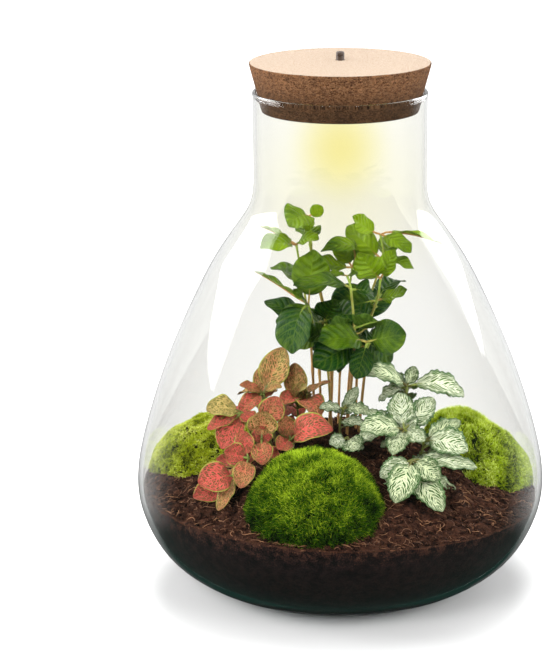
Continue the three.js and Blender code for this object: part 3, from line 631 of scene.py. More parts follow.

# %% [markdown]
# ## The moss
# A cushion of moss is thousands of shoots that stand close together on a dome of their own dead stems. So
# each cushion here is a dark dome with blades on it, dark for the dead stems and for painted shade deep in
# the cushion. A blade is a thin strip of five points that bends once and ends in a tip. numpy makes them
# all
# at once: a place on the dome, a direction near the dome's normal, a length. A particle system could grow
# them too, but this way their lean, length and share of tips stay in plain sight.

# %% Domes of the moss
CUSHIONS = {
    "front": dict(middle=(-14, -72), base=52, radii=(40.5, 41), crown=45, lean=0, lump=1.0),
    "left": dict(middle=(-76, 22), base=50, radii=(40, 42), crown=37, lean=8, lump=1.7),
    "right": dict(middle=(82, 18), base=40, radii=(36, 42), crown=52, lean=-16, lump=1.3),
}


def dome(cushion, share, turn):
    """Points of a cushion's surface: share is 0 at its rim and 1 at its crown."""
    (mx, my), (rx, ry) = cushion["middle"], cushion["radii"]
    reach = np.sqrt(1 - share**2)
    x = mx + cushion["lean"] * share**2 + rx * reach * np.cos(turn)
    y = my + ry * reach * np.sin(turn)
    lump = cushion["lump"]
    relief = lump * np.sin(x / 5.2 + my) * np.cos(y / 4.6) + 0.4 * lump * np.sin((x - y) / 2.9)
    return np.stack([x, y, cushion["base"] + cushion["crown"] * share + relief * (1 - reach**4)], -1)


def crown(cushion):
    return dome(cushion, np.array(1.0), np.array(0.0))


def dome_frame(cushion, share, turn):
    """Points of the surface with their normals."""
    step = 0.01
    place = dome(cushion, share, turn)
    above, below = np.clip(share + step, 0, 1), np.clip(share - step, 0, 1)
    upward = dome(cushion, above, turn) - dome(cushion, below, turn)
    around = dome(cushion, share, turn + step) - dome(cushion, share, turn - step)
    normal = np.cross(around, upward)
    normal[share > 0.995] = UP
    return place, unit(normal + 1e-9)


def inside_glass(points, spare):
    """The same points, drawn in where they would reach closer to the glass than the spare."""
    reach = np.hypot(points[..., 0], points[..., 1])
    keep = np.minimum(1, (inner_radius(points[..., 2]) - spare) / np.maximum(reach, 1e-6))
    return points * np.stack([keep, keep, np.ones_like(keep)], -1)


def wander(points, size, seed):
    """Smooth random vectors that neighbours share, as a sum of a few waves."""
    waves = np.random.default_rng(seed).normal(size=(3, 7, 3)) / size
    shift = np.random.default_rng(seed + 1).uniform(0, 6.3, (3, 7))
    return np.stack([np.sin(points @ waves[i].T + shift[i]).sum(-1) / 2.6 for i in range(3)], -1)


def blades(mould, roots, ways, lengths, widths, bend, tones):
    """A strip of five points for each blade. tones holds the brightness of each blade at its tip."""
    count = len(roots)
    across = unit(np.cross(ways, rng.normal(size=(count, 3)) + 1e-6)) * widths[:, None] / 2
    middle = roots + ways * lengths[:, None] * 0.55
    tips = roots + unit(ways + bend) * lengths[:, None]
    narrower = across * 0.8
    points = np.stack([roots - across, roots + across, middle + narrower, middle - narrower, tips], 1)
    points = inside_glass(points, 0.3)
    first = np.arange(count)[:, None] * 5
    tone = np.stack([tones * 0.05, tones * 0.05, tones * 0.55, tones * 0.55, tones], 1)
    mould.add(points, [first + [0, 1, 2, 3], first + [3, 2, 4]], tone=tone.ravel())


def ground_dome(mould, cushion, depth, rows=40, sides=96):
    """The dark dome under the blades, as a closed body: dead stems, and painted shade deep in the cushion.
    """
    share, turn = np.meshgrid(np.linspace(0.02, 0.985, rows), full_turn(sides), indexing="ij")
    place, normal = dome_frame(cushion, share, turn)
    place = inside_glass(place - depth * normal, 0.6)
    low, high = place[0].mean(0), crown(cushion) - [0, 0, depth]
    mould.add(np.vstack([place.reshape(-1, 3), low, high]), closed_faces(rows, sides))


print("front cushion's crown at", np.round(crown(CUSHIONS["front"]), 1).tolist())

# %% [markdown]
# The three cushions aren't the same moss. The front one is long and fine like fur, and its blades lean
# together in tufts a few millimetres across. The left one grows as small stars in lumps, and the right
# one is short and fine on its crown with coarser stars at its foot. A star is a handful of blades that
# spread from one root.

# %% Growing blades
def scatter(cushion, count):
    """Random places on a cushion that are above the soil and within the glass, with their normals."""
    share = rng.uniform(0, 1, count)
    turn = rng.uniform(0, 2 * math.pi, count)
    place, normal = dome_frame(cushion, share, turn)
    open_air = place[:, 2] > soil_height(place[:, 0], place[:, 1]) - 1.0
    reach = np.hypot(place[:, 0], place[:, 1])
    open_air &= reach < inner_radius(place[:, 2]) + 1.5
    return place[open_air], normal[open_air]


def fur(mould, cushion, count, length, width, lean, seed):
    """Fine blades that lean together in tufts, in painted shade low on the cushion and painted light high
    up.
    """
    roots, normals = scatter(cushion, count)
    size = len(roots)
    tufts = wander(roots, 2.6, seed)
    sway = wander(roots, 7.0, seed + 5)
    ways = unit(normals + lean * tufts + 0.22 * rng.normal(size=(size, 3)) + [0, 0, 0.25])
    lengths = length * rng.uniform(0.72, 1.08, size) * (1 + 0.10 * sway[:, 0])
    tones = 0.60 + 0.2 * tufts[:, 1] + 0.12 * sway[:, 1] + 0.24 * rng.normal(size=size)
    above = roots[:, 2] - soil_height(roots[:, 0], roots[:, 1])
    # painted shade near the soil and painted light high on the crown, on top of the blades' own tones
    tones = np.clip(tones - 0.34 * smooth(15, 0, above) + 0.16 * smooth(12, 34, above), 0.04, 1)
    widths = width * rng.uniform(0.75, 1.2, size)
    roots = roots - normals * (length * 0.86)
    blades(mould, roots, ways, lengths, widths, 0.3 * rng.normal(size=(size, 3)), tones)


def stars(mould, cushion, count, arms, length, width, spread, seed, chosen=None):
    """Stars of so many arms, in low lumps. chosen may keep some of their places and drop the rest."""
    roots, normals = scatter(cushion, count)
    if chosen is not None:
        keep = chosen(roots)
        roots, normals = roots[keep], normals[keep]
    height = 0.9 * wander(roots, 4.5, seed)[:, :1]
    roots = roots - normals * (length * 0.55 - height)
    size = len(roots)
    shade = np.clip(0.66 + 0.3 * height[:, 0] + 0.16 * rng.normal(size=size), 0.1, 1)
    roots, normals, shade = (np.repeat(a, arms, axis=0) for a in (roots, normals, shade))
    fan = rng.normal(size=roots.shape)
    fan = unit(fan - normals * (fan * normals).sum(-1, keepdims=True))
    opening = spread * np.tile(np.linspace(0.15, 1, arms), size)[:, None]
    ways = unit(normals + fan * opening)
    count = len(roots)
    blades(
        mould, roots, ways, length * rng.uniform(0.7, 1.1, count), width * rng.uniform(0.8, 1.2, count),
        fan * 0.5, np.clip(shade * (0.85 + 0.25 * rng.random(count)), 0, 1),
    )


print("cushions to grow:", ", ".join(CUSHIONS))

# %% [markdown]
# One finish serves the three cushions, with three colours each: dark at the root, green along the blade,
# light at the tip. The dark root colour is partly old stems and partly painted shade deep among the
# blades, and the dome under them has it too. The blade carries its own brightness in `tone`, which runs up
# from the root. A little light also shines through a blade, so part of the shader is translucent.

# %% Moss finish
def moss_finish(name, shaded_root, green, light):
    material, tree, shader = finish(name, Roughness=0.62, IOR=1.35, Specular_IOR_Level=0.2)
    patch = grained(tree, where(tree), 130.0, 600.0, 0.4)["Mask"]
    tone = swayed(tree, tone_of(tree), patch, 0.16)
    # the dark root colour is partly painted shade, deep among the blades
    body = blend(tree, ramp(tree, tone, 0.04, 0.42), rgb(*shaded_root), rgb(*green))
    colour = blend(tree, ramp(tree, tone, 0.42, 0.95), body, rgb(*light))
    paint(tree, shader, colour)
    let_light_through(tree, shader, colour, 0.25)
    return material


fur_green = moss_finish("moss_fur", (0.003, 0.009, 0.0003), (0.05, 0.135, 0.0), (0.54, 0.70, 0.03))
star_yellow = moss_finish("moss_stars", (0.02, 0.022, 0.002), (0.38, 0.44, 0.009), (0.88, 0.88, 0.21))
crown_green = moss_finish("moss_crown", (0.012, 0.02, 0.002), (0.38, 0.50, 0.010), (0.90, 0.95, 0.24))

front = Mould()
ground_dome(front, CUSHIONS["front"], depth=3.9)
fur(front, CUSHIONS["front"], count=52000, length=6.0, width=0.62, lean=0.42, seed=21)
moss_front = front.cast("moss_front_fur", [fur_green], "moss_front", "moss_front")

left = Mould()
ground_dome(left, CUSHIONS["left"], depth=2.6)
stars(left, CUSHIONS["left"], count=5200, arms=12, length=3.3, width=0.62, spread=0.95, seed=31)
moss_left = left.cast("moss_left_stars", [star_yellow], "moss_left", "moss_left")


def at_the_foot(place):
    """True low on the right cushion and towards the glass, up to an uneven line."""
    level = place[:, 2] + 0.25 * (110 - place[:, 0]) + 4 * wander(place, 8.0, 47)[:, 0]
    return smooth(84, 72, level) > 0.5


right = Mould()
ground_dome(right, CUSHIONS["right"], depth=2.8)
fur(right, CUSHIONS["right"], count=34000, length=4.0, width=0.5, lean=0.6, seed=41)
stars(
    right, CUSHIONS["right"], count=5200, arms=11, length=3.6, width=0.66, spread=0.95, seed=45,
    chosen=at_the_foot,
)
moss_right = right.cast("moss_right_mixed", [crown_green], "moss_right", "moss_right")
for cushion in (moss_front, moss_left, moss_right):
    print(cushion.name, len(cushion.data.polygons), "faces")

# %% [markdown]
# ## The plants
# A shoot is a stem with leaves that grow at its nodes, in the same places as in the solid model, and the
# leaf itself is finer here. Its two sides are separate skins of one thin closed sheet, since the
# underside of a leaf is paler. The sheet is dished, waves along its edges, has a groove over the midrib
# and puffs up between the side veins. The midrib itself is the leaf's stalk, which runs on below the
# blade and gets thinner.
#
# Leaves of these plants grow in pairs. So most of them get a `sister` too: a smaller leaf from the same
# node, turned further round the stem. Only the coffee's leaves higher than its row's `sisters` have none,
# because they stand free against the light and are all in the table.

# %% Leaf shapes
ALL = 999  # higher than any leaf
KINDS = {
    "coffee": dict(
        spread=1.16, widest=0.92, full=0.56, fold=0.2, wave=1.1, waves=1.7, drip=0.3,
        count=6, slant=0.30, puff=0.6, rows=40, lobes=0.0, shades=0.2, sisters=166,
    ),
    "red": dict(
        spread=1.26, widest=0.86, full=0.6, fold=0.22, wave=0.6, waves=2, drip=0.0,
        count=7, slant=0.45, puff=0.35, rows=28, lobes=0.0, shades=0.3, sisters=ALL,
    ),
    "white": dict(
        spread=1.2, widest=0.88, full=0.6, fold=0.16, wave=0.8, waves=3, drip=0.0,
        count=9, slant=0.5, puff=0.35, rows=44, lobes=0.065, shades=0.2, sisters=ALL,
    ),
}
SHEET = 0.3
COLUMNS = 13
LEAF_INSET = 0.3
STEM_SIDES, RIB_SIDES = 10, 6
SISTER_SIZE = 0.72
TOP_SKIN, UNDER_SKIN, STEM_SKIN = 0, 1, 2


def leaf(node, tip, width, face, rise=0, peak=0.5, stalk=0.14, age=None):
    return dict(node=node, tip=tip, width=width, face=face, rise=rise, peak=peak, stalk=stalk, age=age)


def shoot(foot, girth, stem, leaves):
    return dict(foot=foot, girth=girth, stem=stem, leaves=leaves)


def add_leaf(mould, node, row, kind, age):
    """One leaf from its node on the stem to its tip."""
    along = unit(np.subtract(row["tip"], node))
    base = np.asarray(node) + along * LEAF_INSET
    chord = np.subtract(row["tip"], base)
    up = unit(row["face"] - along * along.dot(row["face"]))
    side = np.cross(along, up)
    power = math.log(0.5) / math.log(row["peak"])
    phase = row["tip"][0] + row["tip"][2]

    def spine(t):
        t = np.asarray(t, float)[..., None]
        return base + chord * t + up * row["rise"] * 4 * t**power * (1 - t**power)

    def normal(t):
        ahead = spine(np.minimum(1, t + 0.02)) - spine(np.maximum(0, t - 0.02))
        return unit(np.cross(side, unit(ahead)))

    even = np.linspace(0, 1, kind["rows"])
    u = 0.35 * even + 0.65 * smooth(0, 1, even)
    t = row["stalk"] + (1 - row["stalk"]) * u
    swell = np.maximum(np.sin(math.pi * u ** kind["widest"]), 0) ** kind["full"]
    taper = 1 - kind["drip"] * smooth(0.84, 1.0, u)
    lobes = 1 + kind["lobes"] * np.cos(2 * math.pi * (kind["count"] * u - 0.3))
    half = kind["spread"] * row["width"] / 2 * swell
    half *= taper * lobes
    half = np.maximum(half, 0.16)[:, None]
    v = np.linspace(-1, 1, COLUMNS)[None, :]
    reach = np.abs(v)
    order = (u[:, None] - kind["slant"] * reach**1.25) * kind["count"] + 0.21 * np.sign(v)
    to_vein = np.abs(order - np.round(order)) * 2
    size = np.minimum(1, half / 5)
    ripple = np.sin(2 * math.pi * kind["waves"] * u[:, None] + phase + v)
    wave = kind["wave"] * np.minimum(1, half / 4) * ripple
    height = reach**1.4 * (kind["fold"] * half) + reach**1.6 * wave
    puff = kind["puff"] * size * (smooth(0, 1, to_vein) - 0.5)
    height = height + puff * np.sin(math.pi * np.clip(reach, 0, 1)) ** 0.8
    height = height - 0.35 * size * np.exp(-((reach * half / 0.5) ** 2))
    lift = normal(t)[:, None]
    middle = spine(t)[:, None] + side * (v * half)[..., None] + lift * height[..., None]
    thick = lift * (SHEET / 2 * (1 - 0.7 * reach**6))[..., None]
    ring = np.concatenate([middle + thick, (middle - thick)[:, ::-1]], 1)
    uv = np.stack(np.broadcast_arrays(u[:, None], (v + 1) / 2), -1)
    uv = np.concatenate([uv, uv[:, ::-1]], 1)
    around = 2 * COLUMNS
    faces = grid_faces(kind["rows"], around, wrap=True)
    upper = faces[:, 0] % around < COLUMNS - 1
    j = np.arange(COLUMNS - 1)
    last = (kind["rows"] - 1) * around
    ends = np.vstack([
        np.stack([j, around - 1 - j, around - 2 - j, j + 1], -1),
        last + np.stack([j, j + 1, around - 2 - j, around - 1 - j], -1),
    ])
    start = mould.count
    mould.add(ring, [faces[upper]], TOP_SKIN, uv, age)
    mould.more([faces[~upper], ends], UNDER_SKIN, start)
    rib = np.linspace(0, 0.96, 16)
    girth = min(0.62, 0.3 + row["width"] * 0.025) * (1 - 0.8 * smooth(0.1, 1, rib)) + 0.06
    under_blade = smooth(row["stalk"] * 0.5, row["stalk"] * 1.3 + 0.01, rib)
    sink = girth * 0.75 * under_blade + 0.3 * smooth(0.1, 0.3, rib)
    mould.add(*tube(spine(rib) - normal(rib) * sink[:, None], girth, RIB_SIDES), STEM_SKIN, tone=age)


def sister(node, place):
    """A smaller leaf of the same pair, a fifth of a turn further round the stem and a little lower."""
    x, y, z = np.subtract(place["tip"], node) * SISTER_SIZE
    turn = 1.25 if place["tip"][0] > node[0] else -1.25
    cos, sin = math.cos(turn), math.sin(turn)
    low = (node[0], node[1], node[2] - 4)
    tip = np.add(low, (x * cos - y * sin, x * sin + y * cos, z))
    tip = inside_glass(np.array([tip]), 4)[0]
    face = (place["face"][0], place["face"][1] * 0.5, place["face"][2] + 0.6)
    width, rise = place["width"] * SISTER_SIZE, place["rise"] * 0.6
    return low, leaf(place["node"], tuple(tip), width, face, rise, place["peak"])


def add_shoot(mould, row, kind, ageing):
    """A stem with its leaves. ageing turns a leaf's height into its age, from 0 to 1."""
    x, y = row["foot"]
    ground = float(soil_height(x, y))
    nodes = [(x, y, ground - 3), (x, y, ground + 2.5), *row["stem"]]
    line = smooth_line(nodes, 7)
    share = np.linspace(0, 1, len(line))
    girth = row["girth"] * (1 - 0.3 * share)
    for node in row["stem"]:
        distance = np.linalg.norm(line - node, axis=-1)
        girth = girth * (1 + 0.35 * np.exp(-((distance / 1.3) ** 2)))
    mould.add(*tube(line, girth, STEM_SIDES), STEM_SKIN, tone=[*np.repeat(share, STEM_SIDES), 0, 1])
    for place in row["leaves"]:
        age = ageing(place) if place["age"] is None else place["age"]
        node = row["stem"][place["node"]]
        add_leaf(mould, node, place, kind, age + rng.normal(0, kind["shades"]))
        if place["tip"][2] < kind["sisters"]:
            add_leaf(mould, *sister(node, place), kind, age + rng.normal(0, kind["shades"]))


def grow(name, rows, kind, ageing, materials, slot):
    for number, row in enumerate(rows, 1):
        mould = Mould()
        add_shoot(mould, row, KINDS[kind], ageing)
        mould.cast(f"{name}_{number}_grown", materials, slot, f"{name}_{number}")
    print(name, "shoots:", len(rows), "leaves in the table:", sum(len(row["leaves"]) for row in rows))


print("leaf sheet", SHEET, "mm thick")

# %% [markdown]
# The finishes of the leaves all start from the same vein group. On coffee the veins are a little lighter
# than a glossy green blade, and old leaves are darker than young ones. The coffee blade is also darker
# close to its veins, where it creases: that is painted shade. On fittonia the veins are the show: a net of
# cream or coral lines, wide at the midrib and thin at the margin, over green cells. The underside is
# duller.

# %% Leaf finishes
def leaf_map(tree):
    return wire(tree, "UVMap", uv_map="LeafMap").outputs[0]


def coffee_finish(name, young, old, vein, roughness, gloss, through):
    """young and old are the colours of the blade. through is the share of light that passes the leaf."""
    material, tree, shader = finish(
        name, Roughness=roughness, IOR=1.42, Coat_Weight=gloss, Coat_Roughness=0.14,
    )
    lines = placed(tree, veins, {
        "Map": leaf_map(tree), "Count": 6.0, "Slant": 0.30, "Width": 0.26, "Net": 9.0, "Net Width": 0.1,
    })
    patch = speckle(tree, where(tree), 80.0, 3.0)
    age = swayed(tree, tone_of(tree), patch, 1.6)
    # painted shade: darker close to the veins, where the blade creases
    crease_shade = ramp(tree, lines["Quilt"], 0.3, 0.08, 0.0, 0.25)
    age = sums(tree, "ADD", age, crease_shade, clamp=True)
    blade = blend(tree, age, rgb(*young), rgb(*old))
    vein_mask = sums(tree, "MULTIPLY", lines["Mask"], sums(tree, "MULTIPLY_ADD", age, -0.2, 0.36))
    colour = blend(tree, vein_mask, blade, rgb(*vein))
    colour = blend(tree, sums(tree, "MULTIPLY", lines["Net"], 0.12), colour, rgb(*vein))
    paint(tree, shader, colour)
    quilted = sums(tree, "MULTIPLY", lines["Quilt"], 1.4)
    netted = sums(tree, "MULTIPLY", lines["Net"], -0.12)
    bump(tree, shader, sums(tree, "ADD", quilted, netted), 0.9)
    let_light_through(tree, shader, colour, through)
    return material


coffee_top = coffee_finish(
    "coffee_leaf_top", (0.22, 0.35, 0.003), (0.002, 0.039, 0.0003), (0.30, 0.45, 0.02),
    roughness=0.3, gloss=0.12, through=0.14,
)
coffee_under = coffee_finish(
    "coffee_leaf_underside", (0.21, 0.30, 0.006), (0.06, 0.13, 0.004), (0.32, 0.42, 0.07),
    roughness=0.5, gloss=0.0, through=0.18,
)


def stem_finish(name, low, high, fleck):
    """low and high are the colours at the soil and at the top of the stem."""
    material, tree, shader = finish(name, Roughness=0.5, Specular_IOR_Level=0.3)
    streaks = speckle(tree, where(tree), 900.0, 3.0, 0.6, stretch=(1, 1, 0.15))
    colour = blend(tree, ramp(tree, tone_of(tree), 0.35, 0.95), rgb(*low), rgb(*high))
    colour = blend(tree, sums(tree, "MULTIPLY", ramp(tree, streaks, 0.45, 0.7), 0.6), colour, rgb(*fleck))
    paint(tree, shader, colour)
    bump(tree, shader, streaks, 0.2)
    return material


coffee_stem = stem_finish("coffee_stem", (0.46, 0.25, 0.085), (0.26, 0.36, 0.05), (0.22, 0.10, 0.035))
print("coffee finishes:", coffee_top.name, coffee_under.name, coffee_stem.name)

# %% Fittonia finishes
def fittonia_finish(name, cells, margin, vein, count, net, widths, edge, roughness=0.55):
    """cells and vein each hold the colours for a tone of 0 and of 1. edge is where the margin begins."""
    material, tree, shader = finish(name, Roughness=roughness, IOR=1.4, Specular_IOR_Level=0.4)
    lines = placed(tree, veins, {
        "Map": leaf_map(tree), "Count": count, "Slant": 0.5,
        "Width": widths[0], "Net": net, "Net Width": widths[1],
    })
    patch = grained(tree, where(tree), 180.0, 900.0, 0.4)["Mask"]
    tone = swayed(tree, tone_of(tree), patch, 0.5, clamp=True)
    inside = sums(tree, "SUBTRACT", 1.0, ramp(tree, lines["Margin"], *edge))
    cell = blend(tree, tone, rgb(*cells[0]), rgb(*cells[1]))
    cell = blend(tree, inside, rgb(*margin), cell)
    line = blend(tree, tone, rgb(*vein[0]), rgb(*vein[1]))
    net_mask = sums(tree, "MULTIPLY", lines["Net"], sums(tree, "MULTIPLY_ADD", inside, 0.85, 0.1))
    line_mask = sums(tree, "MULTIPLY", lines["Mask"], sums(tree, "MULTIPLY_ADD", inside, 0.7, 0.3))
    mask = sums(tree, "MAXIMUM", line_mask, net_mask)
    colour = blend(tree, mask, cell, line)
    paint(tree, shader, colour)
    bump(tree, shader, sums(tree, "SUBTRACT", 1.0, mask), 0.4)
    let_light_through(tree, shader, colour, 0.2)
    return material


WHITE_EDGE, RED_EDGE = (0.62, 1.0), (0.88, 0.97)
white_top = fittonia_finish(
    "white_fittonia_top", [(0.03, 0.11, 0.006), (0.09, 0.18, 0.012)], (0.02, 0.10, 0.005),
    [(0.87, 0.91, 0.57), (0.98, 0.99, 0.77)], 11.0, 2.4, (0.38, 0.15), WHITE_EDGE,
)
white_under = fittonia_finish(
    "white_fittonia_underside", [(0.10, 0.20, 0.05), (0.14, 0.25, 0.07)], (0.10, 0.20, 0.05),
    [(0.45, 0.50, 0.22), (0.52, 0.58, 0.28)], 11.0, 2.4, (0.25, 0.12), WHITE_EDGE, 0.65,
)
red_top = fittonia_finish(
    "red_fittonia_top", [(0.13, 0.15, 0.02), (0.12, 0.11, 0.03)], (0.42, 0.46, 0.07),
    [(0.70, 0.48, 0.16), (0.86, 0.12, 0.10)], 12.0, 5.2, (0.28, 0.22), RED_EDGE, 0.42,
)
red_under = fittonia_finish(
    "red_fittonia_underside", [(0.17, 0.11, 0.03), (0.17, 0.06, 0.03)], (0.22, 0.18, 0.04),
    [(0.44, 0.26, 0.10), (0.46, 0.10, 0.07)], 12.0, 5.2, (0.2, 0.16), RED_EDGE, 0.65,
)
fittonia_stem = stem_finish("fittonia_stem", (0.16, 0.15, 0.04), (0.24, 0.28, 0.06), (0.10, 0.06, 0.03))
print("fittonia finishes:", white_top.name, red_top.name)

# %% [markdown]
# The tables of shoots. Every row is a shoot: where it enters the soil, its girth, the points its stem
# passes, and its leaves. A leaf names the stem point it grows from (counted from 0), its tip, its width,
# the way its upper side faces, and how far its middle is lifted. They repeat the tables of the solid
# model, because the two views of one plant have to agree leaf by leaf. Only six broad leaves in the
# dense lower part of the coffee plants are in this table alone.

# %% Coffee plants
COFFEE = [
    shoot((-6, 11), 1.2, [(-5, 9, 119), (-8, 9, 148), (-15, 10, 180), (-17, 9, 193), (-18, 8, 210)], [
        leaf(4, (-29, -2, 206), 17, (-0.4, -1, 0.6), rise=5),
        leaf(4, (-10, 12, 215), 7, FRONT),
        leaf(4, (-19, 0, 203), 7, FRONT, rise=1),
        leaf(3, (-20, 32, 197), 13, UP, rise=3),
        leaf(1, (-13, 18, 124), 11, (-0.3, -1, 0), rise=-2),
    ]),
    shoot((-15, 9), 0.9, [(-16, 8, 119), (-18, 8, 145), (-21, 8, 168), (-25, 4, 194)], [
        leaf(3, (-45, -8, 195), 13, TILTED, rise=3),
        leaf(3, (-46, 9, 204), 9, (0, 0.2, 1), rise=1),
        leaf(3, (-12, -4, 199), 10, TILTED, rise=3),
        leaf(2, (-40, 22, 176), 15, UP, rise=4),
        leaf(2, (-12, 30, 172), 13, UP, rise=3),
        leaf(1, (-44, 14, 158), 12, TILTED, rise=3),
    ]),
    shoot((-11, 2), 0.9, [(-12, 3, 119), (-14, -3, 142), (-18, -12, 163)], [
        leaf(2, (-15, -15, 196), 19, (0, -1, 0.1), rise=-2, stalk=0.16),
        leaf(2, (-27, -25, 174), 9, (-0.4, -1, 1), rise=1),
        leaf(2, (-49, -4, 181), 10, (0, 0.25, 1), rise=1),
        leaf(1, (-33, -14, 161), 13, (-0.2, -1, 0.6), rise=2),
        leaf(2, (-27, -28, 139), 20, (-0.6, -1, 0.4), rise=6, peak=0.4),
        leaf(1, (-6, -30, 147), 17, (0.1, -1, 0.6), rise=3),
    ]),
    shoot((-1, 14), 0.85, [(0, 13, 118), (3, 12, 150), (7, 10, 179)], [
        leaf(2, (-11, -4, 192), 11, (0.1, -0.5, 1), rise=12, peak=0.45),
        leaf(2, (-3, 18, 195), 10, (0.1, -1, 0.3), rise=-1),
        leaf(2, (-15, 2, 186), 10, TILTED, rise=-1),
        leaf(2, (16, 36, 190), 13, UP, rise=4),
        leaf(1, (4, -1, 129), 15, (0.2, -1, 0.3), rise=4),
        leaf(1, (-1, 5, 118), 10, FRONT, rise=1),
        leaf(1, (4, 36, 144), 15, UP, rise=4),
        leaf(1, (31, 27, 159), 14, (0.2, -1, 0.5), rise=0),
    ]),
    shoot((4, -3), 0.9, [(7, -6, 123), (8, -13, 140), (8, -18, 151), (6, -16, 173), (4, -16, 181)], [
        leaf(2, (-8, -25, 154), 12, (0.2, 1, 0.6), rise=1),
        leaf(2, (21, -31, 159), 17, (-0.2, 1, 0.7), rise=1),
        leaf(1, (-15, -30, 132), 17, (-0.2, -1, 0.5), rise=3),
        leaf(3, (-26, -33, 180), 10, TILTED, rise=5, peak=0.4),
        leaf(3, (19, -11, 167), 12, TILTED, rise=3),
        leaf(4, (-7, -19, 183), 4, TILTED, rise=1),
        leaf(4, (10, -20, 183), 4, TILTED, rise=1),
    ]),
    shoot((9, 9), 0.95, [(10, 8, 119), (14, 6, 140), (21, 2, 162), (23, 0, 175)], [
        leaf(2, (38, -4, 170), 9, TILTED, rise=-1),
        leaf(2, (-6, -1, 156), 22, (-0.1, -1, 0.5), rise=3),
        leaf(2, (36, 26, 167), 14, UP, rise=4),
        leaf(1, (33, -16, 141), 18, (0.2, -1, 0.6), rise=3),
        leaf(3, (10, -18, 195), 15, (-0.3, -1, 0.4), rise=2),
        leaf(3, (31, -7, 194), 9.6, (-0.4, -1, 0.2), rise=1),
    ]),
    shoot((4, 20), 0.85, [(6, 17, 118), (14, 13, 152), (24, 8, 184), (23, 8, 199)], [
        leaf(3, (7, 0, 212), 10, (0.2, -1, 0.6), rise=-3, peak=0.35),
        leaf(3, (63, 6, 192), 9, (0, 0.1, 1), rise=4, peak=0.4),
        leaf(3, (40, -6, 192), 10, TILTED, rise=2),
        leaf(2, (42, 4, 180), 7, TILTED, rise=3),
        leaf(2, (4, 20, 201), 13, (-0.3, -1, 0.6), rise=3),
        leaf(2, (34, 34, 188), 13, UP, rise=4),
    ]),
    shoot((11, 0), 0.95, [(14, -8, 122), (15, -15, 134), (15, -21, 144)], [
        leaf(2, (37, -23, 149), 17, (0.1, -1, 0.5), rise=3),
        leaf(2, (30, -6, 129), 17, (0.3, -1, 0.2), rise=-1),
        leaf(2, (9, -27, 124), 12, (0.1, -1, 0.3), rise=1),
        leaf(2, (-12, -34, 148), 19, (0.1, -0.6, 1.0), rise=3, age=0.4),
    ]),
    shoot((-5, 3), 0.85, [(-7, 3, 120), (-9, 2, 149)], [
        leaf(1, (-37, 0, 150), 17, (-0.2, -1, 0.5), rise=3),
        leaf(1, (-30, -16, 147), 18, (-0.2, -1, 0.7), rise=4),
        leaf(1, (12, -20, 160), 15, (0.1, -1, 0.8), rise=3),
        leaf(1, (-25, 4, 133), 10, (-0.3, -1, 0.1), rise=0),
        leaf(1, (-3, -11, 166), 15, FRONT, rise=1),
        leaf(1, (-3, -9, 129), 16, FRONT, rise=3),
    ]),
]

grow(
    "coffee_seedling", COFFEE, "coffee", lambda row: float(np.clip((212 - row["tip"][2]) / 52, 0.05, 0.95)),
    [coffee_top, coffee_under, coffee_stem], "coffee_leaf",
)

